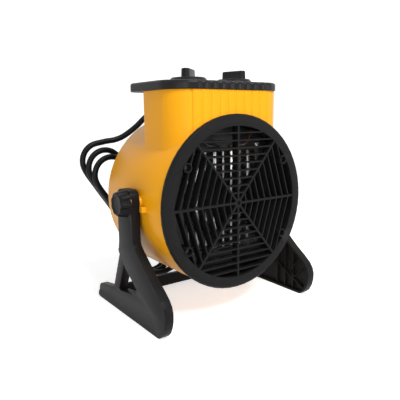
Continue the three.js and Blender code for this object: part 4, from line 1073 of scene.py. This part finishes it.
def lid(name):
    bottom, top = lid_low.z, lid_high.z
    layers = [(lid_plan(0.5 * MM), bottom), (lid_plan(0), bottom + 0.5 * MM)]
    for k in range(7):
        angle = QUARTER * k / 6
        shrink = LID_EDGE * (1 - math.cos(angle))
        layers.append((lid_plan(shrink), top - LID_EDGE * (1 - math.sin(angle))))
    piece = stacked(name, layers)
    for vertex in piece.data.vertices:
        if vertex.co.z > bottom + 1 * MM:
            back = (vertex.co.y - lid_low.y) / LID_FALL_LENGTH
            vertex.co.z -= LID_FALL * max(0.0, 1 - back)
    ceiling = top - LID_CEILING
    over_neck = oblong(-NECK_HALF, NECK_FRONT, NECK_HALF, NECK_STEP)
    grip_half, grip_rear = lid_high.x - LID_WALL, lid_high.y - LID_WALL
    under_grip = oblong(-grip_half, NECK_REAR + LID_WALL, grip_half, grip_rear)
    holes = []
    for place, _ in KNOB_PLACES.values():
        holes.append(rod(
            "hole", SPINDLE_HOLE, ceiling - TOO_FAR, top + TOO_FAR, 32, "z", (place.x, place.y, 0)))
    cut(
        piece,
        prism("over_neck", rounded(over_neck, NECK_CORNER), bottom - TOO_FAR, ceiling, "z"),
        prism("under_grip", rounded(under_grip, GRIP_CORNER), bottom - TOO_FAR, ceiling, "z"),
        *holes)
    return smooth(paint(piece, BLACK_SMOOTH))


lid_piece = lid("lid_moulding")
print("lid:", len(lid_piece.data.polygons), "faces")

# %% [markdown]
# ## The clamp knobs
#
# Nine lobes with grooves between them give the fingers a hold, and the outer face is dished.
# A lobed outline that is lofted along the axis keeps the grooves' edges soft, which a round
# bar with cuts in it wouldn't.

# %% Clamp knobs
CLAMP_IN = 113.6 * MM
CLAMP_LOBES = 9


def lobed(radius, depth, count=180):
    """A circle with a groove before each lobe."""
    points = []
    for k in range(count):
        angle = 2 * math.pi * k / count
        groove = max(0.0, 0.5 + 0.5 * math.cos(angle * CLAMP_LOBES)) ** 1.6
        reach = radius - depth * groove
        points.append((reach * math.cos(angle), reach * math.sin(angle)))
    return points


CLAMP_LAYERS = [  # place along the axis, radius and the grooves' depth
    (0, 14.0, 1.2), (0.3, 14.7, 1.8), (1.0, 15.2, 2.3), (9.6, 13.7, 2.3), (11.2, 13.1, 1.8),
    (12.0, 12.3, 1.0), (12.2, 11.4, 0.5), (12.0, 10.5, 0.2), (11.3, 9.4, 0), (11.0, 6.4, 0),
    (11.0, 0.6, 0)]


def clamp_knob(name):
    layers = []
    for place, radius, depth in CLAMP_LAYERS:
        layers.append((lobed(radius * MM, depth * MM), CLAMP_IN + place * MM))
    knob = along_x(stacked(name, layers))
    cut(knob, rod("bore", BOLT_HOLE, CLAMP_IN - TOO_FAR, CLAMP_IN + 8.8 * MM, 32, "x"))
    knob.data.transform(Matrix.Translation(PIVOT))
    return paint(knob, BLACK)


right_clamp = clamp_knob("clamp_grip_right")
left_clamp = other_side(right_clamp, "clamp_grip_left")
for piece in (right_clamp, left_clamp):
    smooth(piece)
print("a clamp knob:", len(right_clamp.data.polygons), "faces")

# %% [markdown]
# ## The strain relief and the plug
#
# Both are soft rubber moulded over the cord. The strain relief is a turned profile with a
# ridge every few millimetres that gets thinner towards its tip. The plug changes from a round
# neck to a rounded block, so it is stacked from outlines of equal count.

# %% Strain relief
RELIEF_WALL = 2.8 * MM  # what it passes through
RELIEF_SHANK = 7.7 * MM
RELIEF_FLANGE = 7 * MM  # how far its thick end reaches
RELIEF_RIDGES = 8


def strain_relief(name):
    profile = [
        (0, -RELIEF_WALL), (RELIEF_SHANK, -RELIEF_WALL), (RELIEF_SHANK, 0.3 * MM), (9.2 * MM, 0.3 * MM),
        (9.5 * MM, 0.7 * MM), (9.5 * MM, 6.4 * MM), (9.1 * MM, RELIEF_FLANGE)]
    pitch = (GLAND_LENGTH - RELIEF_FLANGE) / RELIEF_RIDGES
    for k in range(RELIEF_RIDGES):
        start = RELIEF_FLANGE + pitch * k
        ridge = RELIEF_SHANK - 2.6 * MM * (k + 0.5) / RELIEF_RIDGES
        groove = max(ridge - 1.3 * MM, 4.4 * MM)
        profile += [
            (groove, start + 0.1 * pitch), (groove, start + 0.34 * pitch),
            (ridge, start + 0.44 * pitch), (ridge, start + 0.9 * pitch)]
    profile += [(5.0 * MM, GLAND_LENGTH - 0.3 * MM), (4.6 * MM, GLAND_LENGTH), (0, GLAND_LENGTH)]
    return turned(name, profile, 48, "y", tuple(GLAND_PLACE))


relief = strain_relief("strain_relief")
soften(paint(relief, RUBBER), 0.25 * MM, 2, 40)
print("strain relief:", len(relief.data.polygons), "faces")


# %% Plug
def squarish(half_width, half_height, power, count=64):
    """An outline between an ellipse (power 1) and a rectangle (power near 0)."""
    points = []
    for k in range(count):
        c, s = math.cos(2 * math.pi * k / count), math.sin(2 * math.pi * k / count)
        across = half_width * math.copysign(abs(c) ** power, c)
        points.append((across, half_height * math.copysign(abs(s) ** power, s)))
    return points


PLUG_SECTIONS = [  # place along the plug, half width, half height, squareness
    (0, 5.0, 5.0, 1), (0.5, 5.4, 5.4, 1), (2.2, 5.7, 5.7, 1), (2.6, 4.9, 4.9, 1), (3.8, 5.1, 5.1, 1),
    (4.2, 6.3, 6.3, 1), (6.0, 6.6, 6.6, 1), (6.4, 5.7, 5.7, 1), (7.6, 6.0, 6.0, 1), (8.0, 7.2, 7.2, 1),
    (9.8, 7.6, 7.6, 1), (10.2, 6.7, 6.7, 1), (11.4, 7.0, 7.0, 1), (11.8, 8.3, 8.3, 1), (14, 8.6, 8.6, 1),
    (14.6, 12.0, 10.0, 0.8), (15.6, 15.6, 11.8, 0.6), (17.4, 17.4, 12.8, 0.5), (19.5, 18.0, 13.0, 0.45),
    (24, 17.2, 12.2, 0.45), (29, 16.9, 12.0, 0.45), (34, 17.8, 12.9, 0.45), (36.4, 17.7, 12.8, 0.45),
    (37.5, 17.0, 12.2, 0.45), (38, 15.8, 11.2, 0.45)]
PIN_HOLE = 2.7 * MM
PIN_OFF_AXIS = 9.5 * MM


def plug(name):
    layers = [(squarish(a * MM, b * MM, power), x * MM) for x, a, b, power in PLUG_SECTIONS]
    piece = along_x(stacked(name, layers))
    bores = []
    for side in (-1, 1):
        bores.append(rod("bore", PIN_HOLE, 29.7 * MM, 39 * MM, 24, "x", (0, side * PIN_OFF_AXIS, 0)))
    cut(piece, *bores)
    piece.data.transform(Matrix.Translation(PLUG_REAR))
    return smooth(paint(piece, RUBBER))


plug_piece = plug("plug_moulding")
print("plug:", len(plug_piece.data.polygons), "faces")

# %% [markdown]
# ## Screws with a cross recess
#
# Nine screws of two lengths hold the grille, the core and the rear cover. One of each length
# is turned from a profile and gets its recess with two crossed cutters; all nine are copies
# of those two meshes.

# %% Screws
SCREW_SHANK = 1.6 * MM
LONG, SHORT = 17, 14


def cross_screw(name, length):
    """A screw along y with its head's top at zero."""
    shape = turned(name, [
        (0, 0), (1.5 * MM, 0.05 * MM), (2.5 * MM, 0.35 * MM), (3.1 * MM, 0.9 * MM), (3.4 * MM, 1.6 * MM),
        (3.4 * MM, 2.2 * MM), (SCREW_SHANK, 2.2 * MM), (SCREW_SHANK, length - SCREW_SHANK), (0, length)],
        32, "y")
    bars = []
    for half_x, half_z in ((1.9 * MM, 0.4 * MM), (0.4 * MM, 1.9 * MM)):
        bar = oblong(-half_x, -half_z, half_x, half_z)
        bars.append(prism("recess", bar, -1 * MM, 1.3 * MM, "y"))
    return paint(cut(shape, *bars), STEEL)


SCREW_SEATS = {}  # place from the bezel's centre, length and the recess's turn
for k, (side_x, side_z) in enumerate(((-1, 1), (1, 1), (-1, -1), (1, -1))):
    SCREW_SEATS[f"grille_screw_{k + 1}"] = ((side_x * 68.9, 1.5, side_z * 45.1), LONG, 25)
for name, side in (("left", -1), ("right", 1)):
    SCREW_SEATS["core_screw_" + name] = ((side * 50.5, 23.5, 63.7), LONG, 70)
for k, angle in enumerate((90, 210, 330)):
    at = (88 * math.cos(math.radians(angle)), 132.5, 88 * math.sin(math.radians(angle)))
    SCREW_SEATS[f"cover_screw_{k + 1}"] = (at, SHORT, 40 + 25 * k)
patterns = {length: cross_screw(f"screw_{length}", length * MM) for length in (LONG, SHORT)}
screws = {}
for name, (at, length, turn) in SCREW_SEATS.items():
    mesh = patterns[length].data.copy()
    facing = Matrix.Rotation(math.pi if name.startswith("cover") else 0, 4, "Z")
    place = Matrix.Translation(Vector(at) * MM + HEAD_PLACE)
    mesh.transform(place @ facing @ Matrix.Rotation(math.radians(turn), 4, "Y"))
    screws[name] = smooth(add_object(name + "_head", mesh))
    if name.startswith("grille"):
        mesh.materials[0] = DARK_STEEL
for pattern in patterns.values():
    bpy.data.objects.remove(pattern)
print(len(screws), "screws")

# %% [markdown]
# ## Folded fins
#
# Real fins are one thin strip folded some forty times between a ceramic tube and a backing
# strip. A zigzag outline with a thickness, pulled backwards into a prism, gives just that.

# %% Fin rows
TUBE_PITCH = 25.4 * MM
FIN_NEAR, FIN_FAR = 2.5 * MM, 12 * MM  # from the middle of the ceramic tube
FIN_HALF = 56.8 * MM
FIN_SHEET = 0.3 * MM
FIN_FOLDS = 44
CORE_FRONT, CORE_REAR = 26.8 * MM, 43.6 * MM


def folded_fins(name):
    middle = []
    for k in range(FIN_FOLDS + 1):
        z = (FIN_HALF - FIN_SHEET) * (2 * k / FIN_FOLDS - 1)
        middle.append((FIN_NEAR if k % 2 else FIN_FAR, z))
    lower = [(x, z - FIN_SHEET / 2) for x, z in middle]
    upper = [(x, z + FIN_SHEET / 2) for x, z in reversed(middle)]
    row = prism(name, lower + upper, CORE_FRONT, CORE_REAR, "y")
    backing = oblong(11.8 * MM, -57 * MM, 12.5 * MM, 57 * MM)
    weld(row, prism("backing", backing, CORE_FRONT, CORE_REAR, "y"))
    return paint(row, FIN_METAL)


fin_pattern = folded_fins("fin_pattern")
fin_rows = {}
for i in range(4):
    for j, side in enumerate((-1, 1)):
        name = f"fin_row_{2 * i + j + 1}"
        if side > 0:
            row = add_object(name + "_folds", fin_pattern.data.copy())
        else:
            row = other_side(fin_pattern, name + "_folds")
        row.data.transform(Matrix.Translation(HEAD_PLACE + Vector(((i - 1.5) * TUBE_PITCH, 0, 0))))
        fin_rows[name] = row
bpy.data.objects.remove(fin_pattern)
print(len(fin_rows), "fin rows of", len(fin_rows["fin_row_1"].data.polygons), "faces")

# %% [markdown]
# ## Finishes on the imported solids
#
# Many solids are right as they are and only need a finish and real edges. A table says which
# node gets which material and how wide its edges are rounded, in millimetres.

# %% Dress the solids
DRESS = {
    "main_housing": (YELLOW, 0.5),
    "front_grille": (BLACK, 0.25),
    "rear_cover": (BLACK, 0.4),
    "stand_crossbar": (BLACK, 1.2),
    "terminal_block": (IVORY, 0.4),
    "heater_frame": (HEATPROOF, 0.4),
    "heat_shield": (ALUMINIUM, 0.15),
    "thermal_cutout": (HEATPROOF, 0.3),
    "fan_impeller": (FAN_GREY, 0.3),
    "motor_shaft": (STEEL, 0.2),
    "motor_bracket": (STEEL, 0.3),
    "motor_body": (DARK_STEEL, 0.8),
    "wire_neutral": (BLACK_WIRE, 0),
    "wire_live": (BROWN_WIRE, 0),
    "cord_tie": (RUBBER, 0.4),
}
for name in ("thermostat", "selector"):
    DRESS[name + "_spindle"] = (STEEL, 0.2)
    DRESS[name + "_body"] = (HEATPROOF, 0.3)
for side in ("left", "right"):
    DRESS["pivot_insert_" + side] = (BRASS, 0.2)
    DRESS["clamp_bolt_" + side] = (STEEL, 0.2)
    DRESS["clamp_washer_" + side] = (STEEL, 0.15)
for k in (1, 2):
    DRESS[f"plug_pin_{k}"] = (BRASS, 0.5)
for k in (1, 2, 3, 4):
    DRESS[f"ceramic_bar_{k}"] = (ALUMINIUM, 0.2)


def finish_node(name, material, width):
    piece = join_corners(nodes[name])
    for slot in piece.material_slots:
        slot.material = material
    if width:
        soften(piece, width * MM)
    else:
        smooth(piece)


for name, (material, width) in DRESS.items():
    finish_node(name, material, width)
print(len(DRESS), "solids dressed")

# %% [markdown]
# ## The set
#
# The photograph is a cut-out on white. A pale floor that curves up behind the heater gives
# the same look and still holds a soft shadow. Light Path tells rays apart: the camera, a
# shine and glass see the set as white, while its light on the object stays at a plain level.


# %% Floor and light
def backdrop():
    """A floor that bends up into a wall behind the heater, square to the camera."""
    half, depth, rise, bend, bend_steps = 3.0, 2.2, 3.0, 0.7, 8
    profile = [(-half, 0.0), (depth - bend, 0.0)]
    for k in range(1, bend_steps + 1):
        angle = QUARTER * k / bend_steps
        profile.append((depth - bend + bend * math.sin(angle), bend - bend * math.cos(angle)))
    profile.append((depth, rise))
    turn = Matrix.Rotation(CAMERA_AZIMUTH, 4, "Z")
    points = [turn @ Vector((side * half, y, z)) for y, z in profile for side in (-1, 1)]
    faces = [(2 * i, 2 * i + 1, 2 * i + 3, 2 * i + 2) for i in range(len(profile) - 1)]
    return from_faces("backdrop", points, faces)


def seen_by_eye(tree):
    """One for rays from the camera, and for those that a shine or glass sends on."""
    path = tree.nodes.new("ShaderNodeLightPath")
    clear = maths(tree, "MAXIMUM", path.outputs["Is Glossy Ray"], path.outputs["Is Transmission Ray"])
    return maths(tree, "MAXIMUM", path.outputs["Is Camera Ray"], clear)


PAPER_GLOW = 0.62  # what the eye sees the floor add to its lit colour
WORLD_LEVEL = 0.33  # what the world gives as light; the eye sees it as one


def white_set():
    """Paper that the camera sees as white wherever no shadow falls on it."""
    material, tree, shader = new_material("white_paper")
    shader.inputs["Base Color"].default_value = (0.86, 0.86, 0.86, 1.0)
    shader.inputs["Roughness"].default_value = 0.9
    shader.inputs["Emission Color"].default_value = (1.0, 1.0, 1.0, 1.0)
    glow = maths(tree, "MULTIPLY", seen_by_eye(tree), PAPER_GLOW)
    tree.links.new(glow, shader.inputs["Emission Strength"])
    return material


def set_world(level):
    world = bpy.data.worlds.new("studio")
    bpy.context.scene.world = world
    world.use_nodes = True
    tree = world.node_tree
    seen = seen_by_eye(tree)
    strength = maths(tree, "ADD", maths(tree, "MULTIPLY", seen, 1.0 - level), level)
    tree.links.new(strength, tree.nodes["Background"].inputs["Strength"])
    tree.nodes["Background"].inputs["Color"].default_value = (1.0, 1.0, 1.0, 1.0)


def area_light(name, place, size, power):
    """A round lamp that points at the middle of the heater."""
    light = bpy.data.lights.new(name, "AREA")
    light.shape = "DISK"
    light.size = size
    light.energy = power
    lamp = bpy.data.objects.new(name, light)
    bpy.context.scene.collection.objects.link(lamp)
    lamp.location = place
    lamp.rotation_euler = (MIDDLE - Vector(place)).to_track_quat("-Z", "Y").to_euler()


MIDDLE = Vector((0, 0, 0.14))
floor = paint(backdrop(), white_set())
set_world(WORLD_LEVEL)
area_light("key", (0.05, -1.25, 1.6), 0.7, 29)
area_light("camera_side", (-1.0, -1.45, 0.5), 0.5, 4.2)
area_light("left_front", (-1.35, -0.9, 0.25), 0.3, 2)
area_light("upper_left", (-1.3, 0.3, 1.1), 0.5, 1.2)
area_light("front_right", (0.95, -1.4, 0.4), 0.35, 3)
bpy.context.scene.view_settings.view_transform = "Standard"

# %% [markdown]
# ## Which body each piece rides on
#
# The stand holds still, the head tilts, and the knobs turn on the head. Each new piece is
# attached to its body, and the solids that it stands for are hidden. The cord starts at
# the tilting head and ends at the stand.

# %% Ride and replace
keep_result(smooth(paint(cord, RUBBER)))
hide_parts("cord_lead", "cord_hank", "cord_tail")
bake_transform(cord)
stand_ins = [
    (right_leg, "stand", "stand_leg_right", "black_plastic"),
    (left_leg, "stand", "stand_leg_left", "black_plastic"),
    (right_clamp, "clamp_right", "clamp_knob_right", "black_plastic"),
    (left_clamp, "clamp_left", "clamp_knob_left", "black_plastic"),
    (relief, "head", "cord_gland", "cord_rubber"),
    (lid_piece, "head", "top_lid", "black_plastic"),
    (plug_piece, "stand", "plug_body", "cord_rubber"),
    *[(row, "head", name, "aluminium") for name, row in fin_rows.items()],
    *[(screw, "head", name, "steel") for name, screw in screws.items()],
]
for name, (grip, line) in knob_pieces.items():
    stand_ins.append((grip, name, name + "_knob", "black_plastic"))
    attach(line, name)
for piece, body, node, slot in stand_ins:
    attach(piece, body)
    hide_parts(node)
print(len(stand_ins), "pieces stand in for packed solids, besides the cord")
